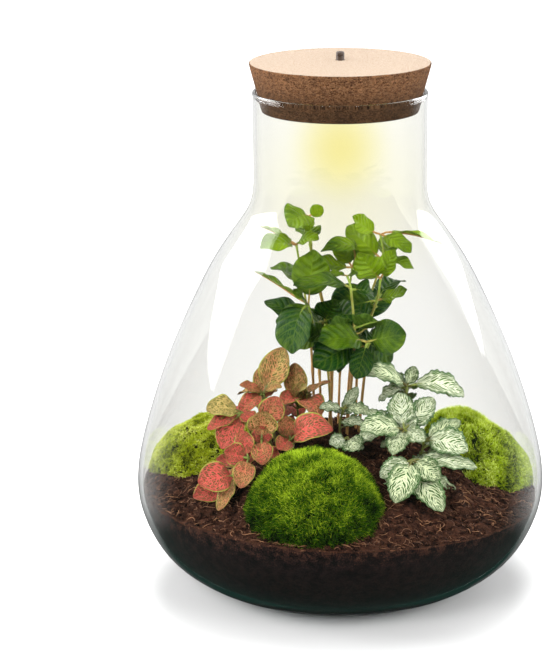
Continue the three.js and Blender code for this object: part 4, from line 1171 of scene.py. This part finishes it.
# %% Red-veined fittonia
RED = [
    shoot((-38, -2), 0.9, [(-40, -6, 96), (-44, -12, 111)], [
        leaf(1, (-32, -8, 137), 14, (-0.2, -1, 0.2), rise=-1),
        leaf(1, (-33, -20, 117), 6, TILTED, rise=2),
        leaf(1, (-57, -19, 118), 7, TILTED, rise=1),
        leaf(1, (-59, -8, 109), 8, UP, rise=2),
        leaf(1, (-57, -23, 103), 9, (-0.5, -1, 0.5), rise=2),
        leaf(0, (-32, -22, 103), 9, TILTED, rise=2),
        leaf(0, (-52, 8, 100), 10, UP, rise=2),
    ]),
    shoot((-24, -3), 0.9, [(-24, -6, 92), (-25, -10, 105)], [
        leaf(1, (-26, -5, 127), 11, FRONT, rise=0),
        leaf(1, (-34, -23, 107), 9, TILTED, rise=5),
        leaf(1, (-19, -21, 117), 9, TILTED, rise=2),
        leaf(1, (-13, -22, 99), 15, (0.3, -0.3, 1), rise=6),
        leaf(0, (-33, -24, 93), 9, FRONT, rise=1),
        leaf(1, (-5, -6, 116), 7, UP, rise=2),
        leaf(0, (-28, 12, 98), 10, UP, rise=2),
    ]),
    shoot((-48, -14), 0.9, [(-52, -22, 94), (-56, -28, 105)], [
        leaf(1, (-75, -34, 108), 13, TILTED, rise=3),
        leaf(1, (-74, -42, 99), 8, TILTED, rise=1),
        leaf(1, (-48, -37, 101), 8, TILTED, rise=1),
        leaf(1, (-66, -46, 89), 13, (-0.2, -1, 0.5), rise=2),
        leaf(0, (-64, -10, 98), 9, UP, rise=2),
    ]),
    shoot((-38, -24), 0.9, [(-43, -31, 98), (-44, -42, 93)], [
        leaf(0, (-35, -28, 114), 12, FRONT, rise=1),
        leaf(1, (-43, -42, 110), 14, (0, -1, 0.1), rise=-1),
        leaf(1, (-43, -56, 83), 10, (0, -1, 0.8), rise=2),
    ]),
    shoot((-51, -40), 0.9, [(-51, -46, 78), (-51, -53, 86)], [
        leaf(1, (-64, -59, 92), 11, (0, -1, 0.5), rise=-1),
        leaf(1, (-55, -66, 73), 10, (0, -1, 0.7), rise=2),
        leaf(1, (-69, -50, 84), 7, FRONT, rise=0),
        leaf(1, (-55, -48, 101), 9, FRONT, rise=0),
    ]),
    shoot((-60, -44), 0.9, [(-60, -50, 70), (-58, -56, 77)], [
        leaf(1, (-78, -66, 76), 15, (-0.1, -1, 0.8), rise=2),
        leaf(0, (-81, -62, 66), 12, (-0.1, -1, 0.8), rise=1),
        leaf(1, (-67, -72, 62), 7, (-0.4, -1, 0.6), rise=0),
        leaf(0, (-74, -44, 76), 7, UP, rise=1),
    ]),
    shoot((-28, -22), 0.9, [(-28, -28, 84), (-28, -33, 90)], [
        leaf(1, (-4, -38, 98), 14, (-0.2, -1, 1), rise=9, peak=0.55),
        leaf(1, (-32, -31, 104), 9, FRONT, rise=0),
        leaf(1, (-35, -44, 88), 9, (0, -1, 0.8), rise=1),
        leaf(0, (-14, -20, 92), 7, UP, rise=2),
    ]),
]

grow(
    "red_fittonia_shoot", RED, "red", lambda row: float(smooth(128, 104, row["tip"][2])),
    [red_top, red_under, fittonia_stem], "red_fittonia_leaf",
)

# %% White-veined fittonia
WHITE = [
    shoot((36, -4), 0.9, [(37, -7, 95), (38, -12, 115)], [
        leaf(1, (12, -24, 127), 13, TILTED, rise=5),
        leaf(1, (43, -5, 125), 7, FRONT, rise=0),
        leaf(1, (71, -8, 108), 14, (0, -0.7, 1), rise=8),
        leaf(1, (22, -3, 104), 10, TILTED, rise=2),
        leaf(1, (64, 6, 103), 9, UP, rise=4),
    ]),
    shoot((31, -22), 0.9, [(33, -28, 88), (36, -36, 97)], [
        leaf(1, (33, -29, 117), 14, FRONT, rise=-1),
        leaf(1, (11, -47, 101), 15, TILTED, rise=3),
        leaf(1, (29, -53, 88), 11, (-0.2, -1, 0.8), rise=2),
        leaf(1, (53, -24, 112), 12, FRONT, rise=0),
        leaf(0, (15, -30, 106), 12, TILTED, rise=2),
        leaf(1, (47, -50, 95), 9, (0, -1, 0.8), rise=1),
    ]),
    shoot((44, -26), 0.9, [(46, -32, 82), (47, -38, 91)], [
        leaf(1, (71, -47, 88), 17, TILTED, rise=4),
        leaf(1, (68, -26, 99), 11, TILTED, rise=1),
        leaf(0, (68, -34, 80), 10, TILTED, rise=2),
    ]),
    shoot((38, -38), 0.9, [(39, -43, 76), (40, -50, 84)], [
        leaf(1, (30, -76, 68), 15, (0, -1, 0.9), rise=3),
        leaf(0, (56, -76, 63), 14, (0, -1, 1), rise=3),
        leaf(1, (55, -60, 76), 12, (0, -1, 0.8), rise=2),
        leaf(1, (22, -62, 78), 11, (0, -1, 0.8), rise=2),
        leaf(1, (76, -52, 80), 10, TILTED, rise=3),
    ]),
    shoot((0, -10), 0.9, [(0, -12, 94), (2, -15, 103)], [
        leaf(1, (-12, -21, 105), 7, TILTED, rise=1),
        leaf(1, (10, -16, 116), 6, FRONT, rise=0),
        leaf(1, (17, -22, 102), 8, TILTED, rise=2),
        leaf(0, (13, -28, 97), 8, TILTED, rise=2),
    ]),
    shoot((8, -26), 0.9, [(6, -31, 88), (4, -38, 93)], [
        leaf(1, (10, -50, 90), 11, (0, -1, 0.6), rise=0),
        leaf(1, (-6, -46, 92), 8, (0, -1, 0.6), rise=0),
        leaf(0, (22, -36, 94), 8, TILTED, rise=1),
    ]),
]

grow(
    "white_fittonia_shoot", WHITE, "white", lambda row: 0.5 + 0.4 * math.sin(row["tip"][0]),
    [white_top, white_under, fittonia_stem], "white_fittonia_leaf",
)

# %% [markdown]
# ## The cork lid
# The stopper is pressed from cork granules and tapers into the neck. Its side was cut, so granules are
# torn out of it and leave small pits. Its top was sanded and is pale. The outline is turned in fine
# steps, then every point of the side is moved in or out a little by noise. The hole for the button is cut
# with a Boolean modifier, whose result is applied, because the hole is off the axis and a turned outline
# can't hold it.

# %% Cork shape
CORK_BOTTOM, CORK_TOP = 273, 300
CORK_LOW, CORK_HIGH = 44, 50.7
RECESS, RECESS_TOP = 36.3, 293
BUTTON_AT, BUTTON_RADIUS, CLEARANCE = (0, 6), 2.35, 0.3
CORK_SIDES = 560
rise = np.linspace(0, 1, 58)[1:-1]
side_radius = CORK_LOW + (CORK_HIGH - CORK_LOW) * rise
side_height = CORK_BOTTOM + 0.8 + (CORK_TOP - CORK_BOTTOM - 1.7) * rise
cork_outline = np.vstack([
    [(0, RECESS_TOP), (RECESS, RECESS_TOP), (RECESS, CORK_BOTTOM + 0.3), (RECESS + 0.4, CORK_BOTTOM)],
    [(CORK_LOW - 0.8, CORK_BOTTOM), (CORK_LOW - 0.25, CORK_BOTTOM + 0.2), (CORK_LOW, CORK_BOTTOM + 0.8)],
    np.c_[side_radius, side_height],
    [(CORK_HIGH, CORK_TOP - 0.9), (CORK_HIGH - 0.12, CORK_TOP - 0.45), (CORK_HIGH - 0.45, CORK_TOP - 0.12)],
    np.c_[np.linspace(CORK_HIGH - 0.9, 4, 30), np.full(30, CORK_TOP)], [(0, CORK_TOP)],
])
points, faces = turned(cork_outline, CORK_SIDES)
reach = np.hypot(points[:, 0], points[:, 1])
below_top = smooth(CORK_TOP + 0.3, CORK_TOP - 0.6, points[:, 2])
on_side = smooth(CORK_LOW - 1.5, CORK_LOW - 0.3, reach) * below_top
granules = rough(points * [1, 1, 1.5], 1.5, 3)
pits = smooth(0.25, 0.75, rough(points * [1, 1, 2.6] + 40, 0.9, 2))
moved = on_side * (0.16 * np.clip(granules, -1, 0.6) - 0.34 * pits)
points[:, :2] *= (1 + moved / np.maximum(reach, 1))[:, None]
on_top = smooth(CORK_TOP - 0.05, CORK_TOP - 0.01, points[:, 2]) * smooth(3.0, 6.0, reach)
points[:, 2] += on_top * 0.09 * np.clip(granules, -1, 0.3)
print("cork side:", int(on_side.sum()), "moved points, deepest pit", round(float(-moved.min()), 2), "mm")

# %% [markdown]
# Cork is brown granules in all shades with nearly black specks between them. Its side gets darker on the
# way down, which is painted shade, where the neck of the jar shades it. The top reads much paler, since it
# is sanded smooth and lies in full light. A mask made from the direction a face looks tells the two apart.

# %% Cork finish
cork_brown, tree, shader = finish("pressed_cork", Roughness=0.85, Specular_IOR_Level=0.1)
place = where(tree)
flat = wire(tree, "Mapping", {"Vector": place, "Scale": (1.0, 1.0, 2.0)}).outputs[0]
body = grained(tree, flat, 420.0, 1500.0, 0.6)["Mask"]
cells = wire(tree, "TexVoronoi", {"Vector": flat, "Scale": 620.0, "Randomness": 1.0})
shade = wire(tree, "SeparateColor", {0: cells.outputs["Color"]}).outputs[0]
granule = blend(tree, shade, rgb(0.022, 0.008, 0.003), rgb(0.15, 0.065, 0.025))
granule = blend(tree, sums(tree, "MULTIPLY", body, 0.5), granule, rgb(0.28, 0.145, 0.07))
gaps = ramp(tree, speckle(tree, flat, 1150.0, 3.0, 0.6), 0.46, 0.34)
granule = blend(tree, sums(tree, "MULTIPLY", gaps, 0.85), granule, rgb(0.010, 0.004, 0.002))
# painted shade: the side darkens towards the bottom, down in the shade of the neck
shaded_in_neck = ramp(tree, xyz_of(tree, place)["Z"], 0.297, 0.277, 0.0, 0.6)
granule = blend(tree, shaded_in_neck, granule, rgb(0.012, 0.005, 0.002))
sanded = blend(tree, body, rgb(0.39, 0.30, 0.225), rgb(0.47, 0.38, 0.30))
sanded = blend(tree, sums(tree, "MULTIPLY", gaps, 0.55), sanded, rgb(0.36, 0.20, 0.10))
paint(tree, shader, blend(tree, ramp(tree, facing_up(tree), 0.75, 0.95), granule, sanded))
bump(tree, shader, sums(tree, "SUBTRACT", shade, gaps), 0.8)


def drill(piece, radius, low, high, at=BUTTON_AT):
    """Cuts a round hole through the piece between two heights."""
    cutter = Mould()
    points, faces = turned([(0, low), (radius, low), (radius, high), (0, high)], 48)
    cutter.add(points + [*at, 0], faces)
    tool = cutter.object("drill", [])
    cut = piece.modifiers.new("hole", "BOOLEAN")
    cut.operation, cut.solver, cut.object = "DIFFERENCE", "EXACT", tool
    bpy.context.view_layer.update()
    result = piece.evaluated_get(bpy.context.evaluated_depsgraph_get())
    piece.data = bpy.data.meshes.new_from_object(result)
    piece.modifiers.clear()
    bpy.data.objects.remove(tool)


stopper = Mould()
stopper.add(points, faces)
cork = stopper.cast("cork_stopper", [cork_brown], "cork", "cork_lid")
drill(cork, BUTTON_RADIUS + CLEARANCE, RECESS_TOP - 3, CORK_TOP + 3)
print("cork:", len(cork.data.polygons), "faces")

# %% [markdown]
# ## The lamp in the lid
# A cup of moulded plastic fills the recess under the cork. Its cover has a round window with a frosted
# lens, and over the lens sits a small board with four light sources. Three cells lie round the board. The
# push button waits above the board's switch and reaches up through the cup and the cork. These parts are
# turned or bevelled from the same dimensions as the solid model.

# %% Lamp finishes
def moulded(name, base, shade, roughness, depth=0.05, metal=0.0):
    """A plastic or metal, a little uneven in colour, in gloss and, by depth millimetres, in relief."""
    material, tree, shader = finish(name, Roughness=roughness, Metallic=metal)
    mask = grained(tree, where(tree), 300.0, 4000.0, 0.3)
    paint(tree, shader, blend(tree, mask["Mask"], rgb(*base), rgb(*shade)))
    rubbed = sums(tree, "MULTIPLY_ADD", mask["Mask"], 0.12, roughness - 0.06)
    tree.links.new(rubbed, shader.inputs["Roughness"])
    bump(tree, shader, mask["Spots"], depth)
    return material, tree, shader


plastic = moulded("moulded_plastic", (0.78, 0.76, 0.70), (0.72, 0.69, 0.62), 0.42)[0]
button_brown = moulded("button_plastic", (0.028, 0.016, 0.011), (0.05, 0.03, 0.02), 0.3, 0.03)[0]
black = moulded("switch_plastic", (0.012, 0.012, 0.013), (0.022, 0.022, 0.024), 0.4)[0]
steel = moulded("cell_steel", (0.42, 0.43, 0.45), (0.5, 0.5, 0.51), 0.32, 0.02, metal=1.0)[0]
phosphor = moulded("led_phosphor", (0.86, 0.55, 0.06), (0.9, 0.66, 0.12), 0.35)[0]
lens_white, tree, shader = moulded("lens", (0.96, 0.86, 0.55), (0.98, 0.9, 0.62), 0.35)
shader.inputs["Emission Color"].default_value = rgb(1.0, 0.84, 0.42)
shader.inputs["Emission Strength"].default_value = 3.0

board_green, tree, shader = finish("board_mask", Roughness=0.35)
place = where(tree)
bands = {"Vector": place, "Scale": 190.0, "Distortion": 7.0, "Detail": 0.0}
waves = wire(tree, "TexWave", bands, bands_direction="DIAGONAL")
tracks = ramp(tree, waves.outputs["Fac"], 0.86, 0.92)
spots = grained(tree, place, 200.0, 3000.0, 0.3)["Mask"]
mask_green = blend(tree, spots, rgb(0.015, 0.11, 0.04), rgb(0.025, 0.15, 0.055))
paint(tree, shader, blend(tree, tracks, mask_green, rgb(0.08, 0.30, 0.12)))
bump(tree, shader, tracks, 0.06)
print("lamp finishes:", plastic.name, steel.name, lens_white.name, board_green.name)

# %% Cover, lens and cup
HOUSING_RADIUS, HOUSING_BOTTOM, HOUSING_TOP, LAMP_WALL = 36.0, 274.2, 292.7, 1.6
COVER_TOP, WINDOW, BUTTON_WELL = 276.1, 15, 3.7
LAMP_SIDES = 96


def rounded(outline, radius=0.3, steps=4):
    """The same outline with its corners off the axis rounded a little."""
    p = np.asarray(outline, float)
    line = [p[0]]
    for before, corner, after in zip(p, p[1:], p[2:]):
        reach = min(radius, np.linalg.norm(before - corner) / 2.2, np.linalg.norm(after - corner) / 2.2)
        a, b = corner + unit(before - corner) * reach, corner + unit(after - corner) * reach
        t = np.linspace(0, 1, steps)[:, None]
        line.extend((1 - t) ** 2 * a + 2 * t * (1 - t) * corner + t**2 * b)
    return np.vstack([*line, p[-1]])


def turned_piece(name, outline, sides, material, slot, node, at=(0, 0), body=BODY):
    mould = Mould()
    points, faces = turned(rounded(outline), sides)
    mould.add(points + [*at, 0], faces)
    return mould.cast(name, [material], slot, node, body=body)


ceiling = HOUSING_TOP - LAMP_WALL
inside = HOUSING_RADIUS - LAMP_WALL
cup = turned_piece("lamp_cup", [
    (0, ceiling), (inside, ceiling), (inside, HOUSING_BOTTOM),
    (HOUSING_RADIUS, HOUSING_BOTTOM), (HOUSING_RADIUS, HOUSING_TOP), (0, HOUSING_TOP),
], LAMP_SIDES, plastic, "lamp_plastic", "lamp_housing")
drill(cup, BUTTON_WELL, ceiling - 1, HOUSING_TOP + 1)

cover_radius = inside - CLEARANCE
cover = turned_piece("lamp_window_cover", [
    (0, HOUSING_BOTTOM + 0.5), (WINDOW + 2, HOUSING_BOTTOM + 0.5), (WINDOW + 3, HOUSING_BOTTOM),
    (cover_radius - 3, HOUSING_BOTTOM), (cover_radius - 2.4, HOUSING_BOTTOM + 0.5),
    (cover_radius - 1.8, HOUSING_BOTTOM), (cover_radius, HOUSING_BOTTOM),
    (cover_radius, COVER_TOP), (0, COVER_TOP),
], LAMP_SIDES, plastic, "lamp_plastic", "lamp_cover")
drill(cover, WINDOW, HOUSING_BOTTOM - 1, COVER_TOP + 1, at=(0, 0))

lens_radius = WINDOW - CLEARANCE
flange = COVER_TOP + CLEARANCE
rippled = []
for radius in np.linspace(0.01, lens_radius, 26)[1:]:
    bulge = HOUSING_BOTTOM - 0.6 + 1.2 * (radius / lens_radius) ** 2
    rippled.append((radius, bulge + 0.07 * math.cos(radius * 5.2)))
lens = turned_piece("lamp_lens", [
    (0, HOUSING_BOTTOM - 0.53), *rippled, (lens_radius, flange), (lens_radius + 2, flange),
    (lens_radius + 2, flange + 1), (0, flange + 1),
], LAMP_SIDES, lens_white, "diffuser", "lamp_diffuser")
print("lamp shell:", len(cup.data.polygons), len(cover.data.polygons), len(lens.data.polygons), "faces")

# %% Board, switch, light sources and cells
BOARD_RADIUS, BOARD_BOTTOM, BOARD_TOP = 14.5, 285.0, 286.6
SWITCH_HEIGHT, LED_RING = 2.5, 8
turned_piece("lamp_circuit_board", [
    (0, BOARD_BOTTOM), (BOARD_RADIUS, BOARD_BOTTOM), (BOARD_RADIUS, BOARD_TOP), (0, BOARD_TOP),
], LAMP_SIDES, board_green, "circuit_board", "lamp_board")


def chip(name, size, middle, materials, slot, node, disc_radius, disc_height):
    """A bevelled block with a disc let into it from above or, with a height below 0, from below."""
    shape = bmesh.new()
    bmesh.ops.create_cube(shape, size=1)
    bmesh.ops.scale(shape, vec=Vector(size) * MM, verts=shape.verts)
    bmesh.ops.bevel(shape, geom=shape.edges[:], offset=0.22 * MM, segments=3, affect="EDGES")
    bmesh.ops.translate(shape, vec=Vector(middle) * MM, verts=shape.verts)
    mesh = bpy.data.meshes.new(name)
    shape.to_mesh(mesh)
    shape.free()
    block = np.array([vertex.co for vertex in mesh.vertices]) / MM
    mould = Mould()
    mould.add(block, [[list(face.vertices)] for face in mesh.polygons])
    x, y, z = middle
    direction = math.copysign(1, disc_height)
    face_height = z + direction * size[2] / 2
    low, high = sorted((face_height - direction * 0.2, face_height + disc_height))
    disc, faces = turned(rounded([(0, low), (disc_radius, low), (disc_radius, high), (0, high)], 0.1), 32)
    mould.add(disc + [x, y, 0], faces, 1)
    bpy.data.meshes.remove(mesh)
    return mould.cast(name, materials, slot, node)


switch_body = SWITCH_HEIGHT - 0.5
chip(
    "lamp_push_switch", (6, 6, switch_body), (*BUTTON_AT, BOARD_TOP + 0.3 + switch_body / 2),
    [black, steel], "black_plastic", "lamp_switch", disc_radius=1.7, disc_height=0.5,
)
for number, degrees in enumerate([45, 135, 225, 315], 1):
    turn = math.radians(degrees)
    middle = (LED_RING * math.cos(turn), LED_RING * math.sin(turn), BOARD_BOTTOM - 0.3 - 0.55)
    chip(
        f"lamp_light_{number}", (3.5, 2.8, 1.1), middle,
        [plastic, phosphor], "led", f"lamp_led_{number}", disc_radius=1.15, disc_height=-0.1,
    )

CELL_RADIUS, CELL_LENGTH, CELL_OFFSET = 5.2, 44.5, 20.6
cell_outline = rounded([
    (0, 0.25), (3.4, 0.25), (3.5, 0), (4.7, 0), (CELL_RADIUS, 0.5), (CELL_RADIUS, 1.6),
    (CELL_RADIUS - 0.12, 1.8), (CELL_RADIUS - 0.12, 42.6), (CELL_RADIUS, 42.8), (CELL_RADIUS, 43.1),
    (4.4, 43.6), (3.4, 43.4), (2.0, 43.4), (1.9, CELL_LENGTH), (0, CELL_LENGTH),
], 0.25)
for number, degrees in enumerate([90, 210, 330], 1):
    turn = math.radians(degrees)
    points, faces = turned(cell_outline, 64)
    along = np.array([-math.sin(turn), math.cos(turn), 0])
    outward = np.array([math.cos(turn), math.sin(turn), 0])
    middle = outward * CELL_OFFSET + [0, 0, COVER_TOP + CLEARANCE + CELL_RADIUS]
    lying = middle + np.outer(points[:, 2] - CELL_LENGTH / 2, along) + np.outer(points[:, 1], outward)
    lying += np.outer(points[:, 0], np.cross(outward, along))
    cell = Mould()
    cell.add(lying, faces)
    cell.cast(f"lamp_cell_{number}", [steel], "battery_steel", f"lamp_battery_{number}")

BUTTON_BOTTOM, BUTTON_TOP, COLLAR = 291.2, 304.7, 3.4
collar_top = BUTTON_BOTTOM + 1.1
button = turned_piece("push_button", [
    (0, BUTTON_BOTTOM), (COLLAR, BUTTON_BOTTOM), (COLLAR, collar_top), (BUTTON_RADIUS, collar_top),
    (BUTTON_RADIUS, BUTTON_TOP - 0.5), (BUTTON_RADIUS - 0.5, BUTTON_TOP),
    (BUTTON_RADIUS - 1.1, BUTTON_TOP - 0.12), (0, BUTTON_TOP - 0.35),
], 64, button_brown, "button_plastic", "switch_button", at=BUTTON_AT, body="button")
print("button faces:", len(button.data.polygons))

# %% [markdown]
# ## Light and floor
# Product photographs of glass stand on white and are lit by large soft boxes. Two stand beside the jar
# and a little behind it, and the glass mirrors them as the pale veils on its cone. A third hangs above.
# The lamps in front and close at the sides light the plants, but a photographer keeps them out of the
# glass with flags. Here light linking does that: they light everything but the jar. The lamp behind
# lights the floor alone, and draws the soft shadow in front of the jar.
#
# The floor glows by itself, not at all near the jar and more and more towards its far edge, so that it
# runs into the white behind it without a horizon and still shows the shadow.

# %% Floor
FLOOR_RADIUS, FLOOR_BOTTOM, FLOOR_TOP = 3000, -6, -0.05
inside = FLOOR_RADIUS - 10
floor_outline = [(radius, FLOOR_BOTTOM) for radius in (0, 400, 1500, inside)]
floor_outline += [(FLOOR_RADIUS, FLOOR_BOTTOM / 2)]
floor_outline += [(radius, FLOOR_TOP) for radius in (inside, 1500, 900, 400, 200, 0)]
stage_floor = Mould()
stage_floor.add(*turned(floor_outline, 128))
floor_white, tree, shader = finish("floor_white", Base_Color=rgb(0.5, 0.5, 0.5), Roughness=0.6)
from_middle = wire(tree, "VectorMath", {0: where(tree)}, operation="LENGTH").outputs["Value"]
shader.inputs["Emission Color"].default_value = rgb(1, 1, 1)
tree.links.new(ramp(tree, from_middle, 0.13, 0.9, 0.0, 0.93), shader.inputs["Emission Strength"])
floor = stage_floor.object("floor", [floor_white])
floor.visible_glossy = floor.visible_transmission = False
print("floor:", 2 * FLOOR_RADIUS * MM, "m across")

# %% Soft boxes
# A lamp that is linked to the first collection lights all but the glass. One that is linked to the
# second lights the floor alone.
not_on_glass = bpy.data.collections.new("not_on_glass")
not_on_glass.objects.link(glass_jar)
not_on_glass.collection_objects[0].light_linking.link_state = "EXCLUDE"
on_floor = bpy.data.collections.new("on_floor")
on_floor.objects.link(floor)


def softbox(name, place, aim, size, power, only=None):
    """A rectangular lamp, size in metres and power in watts, that may light only what a collection says."""
    lamp = bpy.data.lights.new(name, "AREA")
    lamp.shape, lamp.size, lamp.size_y, lamp.energy = "RECTANGLE", *size, power
    box = bpy.data.objects.new(name, lamp)
    box.location = place
    box.rotation_euler = (Vector(aim) - Vector(place)).to_track_quat("-Z", "Y").to_euler()
    box.visible_camera = False
    bpy.context.scene.collection.objects.link(box)
    if only:
        box.visible_transmission = False
        box.light_linking.receiver_collection = only


softbox("softbox_left", (-1.2, 0.5, 0.78), aim=(0, 0, 0.2), size=(1.25, 0.75), power=13)
softbox("softbox_right", (0.92, 0.88, 0.72), aim=(0, 0, 0.2), size=(1.0, 0.85), power=11)
softbox("key_front", (-0.75, -1.15, 1.15), aim=(0, 0, 0.1), size=(0.8, 0.8), power=27, only=not_on_glass)
softbox("fill_right", (0.95, -0.8, 0.8), aim=(0, 0, 0.1), size=(0.7, 0.7), power=14, only=not_on_glass)
softbox("fill_top", (0.0, 0.15, 1.5), aim=(0, 0, 0.1), size=(0.7, 0.7), power=12)
softbox("side_left", (-1.2, 0.05, 0.55), aim=(0, 0, 0.22), size=(0.5, 0.5), power=16, only=not_on_glass)
softbox("side_right", (1.2, 0.05, 0.55), aim=(0, 0, 0.22), size=(0.5, 0.5), power=10, only=not_on_glass)
softbox("back_floor", (0.0, 0.9, 1.3), aim=(0, -0.1, 0), size=(1.0, 0.5), power=44, only=on_floor)

# %% [markdown]
# The world is a plain studio. What the camera sees past the glass is white. Through both walls of the jar
# it should look white as well, so it is set a little above white there, for what the walls mirror and
# take up: four surfaces bend that ray, and Light Path counts them. A ray that has passed only two of them
# ran inside one wall, at the jar's edge, and finds a dark green unless it still heads for the backdrop.
# What the glass mirrors is dark apart from the soft boxes and the white backdrop behind the jar, since a
# studio keeps all else away.

# %% World
BOTH_WALLS = 3.5  # between the two surfaces of one wall and the four of both
world = bpy.data.worlds.new("studio")
bpy.context.scene.world = world
world.use_nodes = True
tree = world.node_tree
rays = wire(tree, "LightPath").outputs
way = xyz_of(tree, wire(tree, "TexCoord").outputs["Generated"])
through_both = sums(tree, "GREATER_THAN", rays["Transmission Depth"], BOTH_WALLS)
above_table = ramp(tree, way["Z"], -0.55, -0.3)
backdrop = sums(tree, "MULTIPLY", ramp(tree, way["Y"], 0.7, 0.95), ramp(tree, way["Z"], -0.36, -0.2))
mirrored = blend(tree, backdrop, rgb(0.02, 0.02, 0.02), rgb(0.95, 0.95, 0.95))
past_jar = sums(tree, "MULTIPLY", ramp(tree, way["Y"], 0.2, 0.75), above_table)
along_wall = blend(tree, past_jar, rgb(0.006, 0.035, 0.026), rgb(1.05, 1.05, 1.04))
through_wall = blend(tree, ramp(tree, way["Z"], 0.55, 0.25), rgb(0.02, 0.02, 0.02), rgb(1.13, 1.11, 1.08))
behind = blend(tree, through_both, along_wall, through_wall)
studio = blend(tree, rays["Is Glossy Ray"], rgb(0.5, 0.5, 0.5), mirrored)
studio = blend(tree, rays["Is Transmission Ray"], studio, behind)
studio = blend(tree, rays["Is Camera Ray"], studio, rgb(1, 1, 1))
tree.links.new(studio, tree.nodes["Background"].inputs["Color"])
bpy.context.scene.view_settings.view_transform = "Standard"
bpy.context.scene.cycles.caustics_reflective = False
bpy.context.scene.cycles.caustics_refractive = False
print("view:", bpy.context.scene.view_settings.view_transform)

# %% [markdown]
# The lamp's light shows in the photograph as a yellow haze under the lid. Light only shows in air that
# has something in it, so the air of the studio is a body of mist whose thickness is a formula: none
# anywhere but under the lamp, where it takes some blue out of what is behind it and adds a little yellow.
# It is left out for the rays that light the plants, mirror the lamps and cast the shadows.

# %% Air of the studio
AIR_RADIUS, AIR_BOTTOM, AIR_TOP = 300, 1, 420
air_body = Mould()
air_wall = [(AIR_RADIUS, height) for height in (AIR_BOTTOM, 140, 280, AIR_TOP)]
air_body.add(*turned([(0, AIR_BOTTOM), *air_wall, (0, AIR_TOP)], 64))
air_clear = bpy.data.materials.new("studio_air")
air_clear.use_nodes = True
tree = air_clear.node_tree
tree.nodes.remove(tree.nodes["Principled BSDF"])


def cloud(tree, centre, radii, peak):
    """Thickness of an egg-shaped cloud, which falls off evenly from its centre."""
    away = wire(tree, "VectorMath", {0: where(tree), 1: centre}, operation="SUBTRACT").outputs[0]
    away = wire(tree, "VectorMath", {0: away, 1: [1 / r for r in radii]}, operation="MULTIPLY").outputs[0]
    away = wire(tree, "VectorMath", {0: away}, operation="LENGTH").outputs["Value"]
    return ramp(tree, away, 1.0, 0.0, 0.0, peak)


near = cloud(tree, (0, 0, 0.252), (0.034, 0.034, 0.04), 1.0)
wide = cloud(tree, (0, 0, 0.225), (0.08, 0.08, 0.085), 0.14)
thickness = sums(tree, "ADD", near, wide)
density = sums(tree, "MULTIPLY", thickness, 30.0)
strength = sums(tree, "MULTIPLY", thickness, 0.03)
taken = wire(tree, "VolumeAbsorption", {"Color": rgb(0.95, 0.88, 0.24), "Density": density})
added = wire(tree, "Emission", {"Color": rgb(1.0, 0.86, 0.3), "Strength": strength})
mist = wire(tree, "AddShader", {0: taken.outputs[0], 1: added.outputs[0]})
tree.links.new(mist.outputs[0], tree.nodes["Material Output"].inputs["Volume"])
air_clear.cycles.volume_step_rate = 0.2
air = air_body.object("studio_air", [air_clear])
air.visible_diffuse = air.visible_glossy = air.visible_shadow = False
print("air:", 2 * AIR_RADIUS, "mm across")
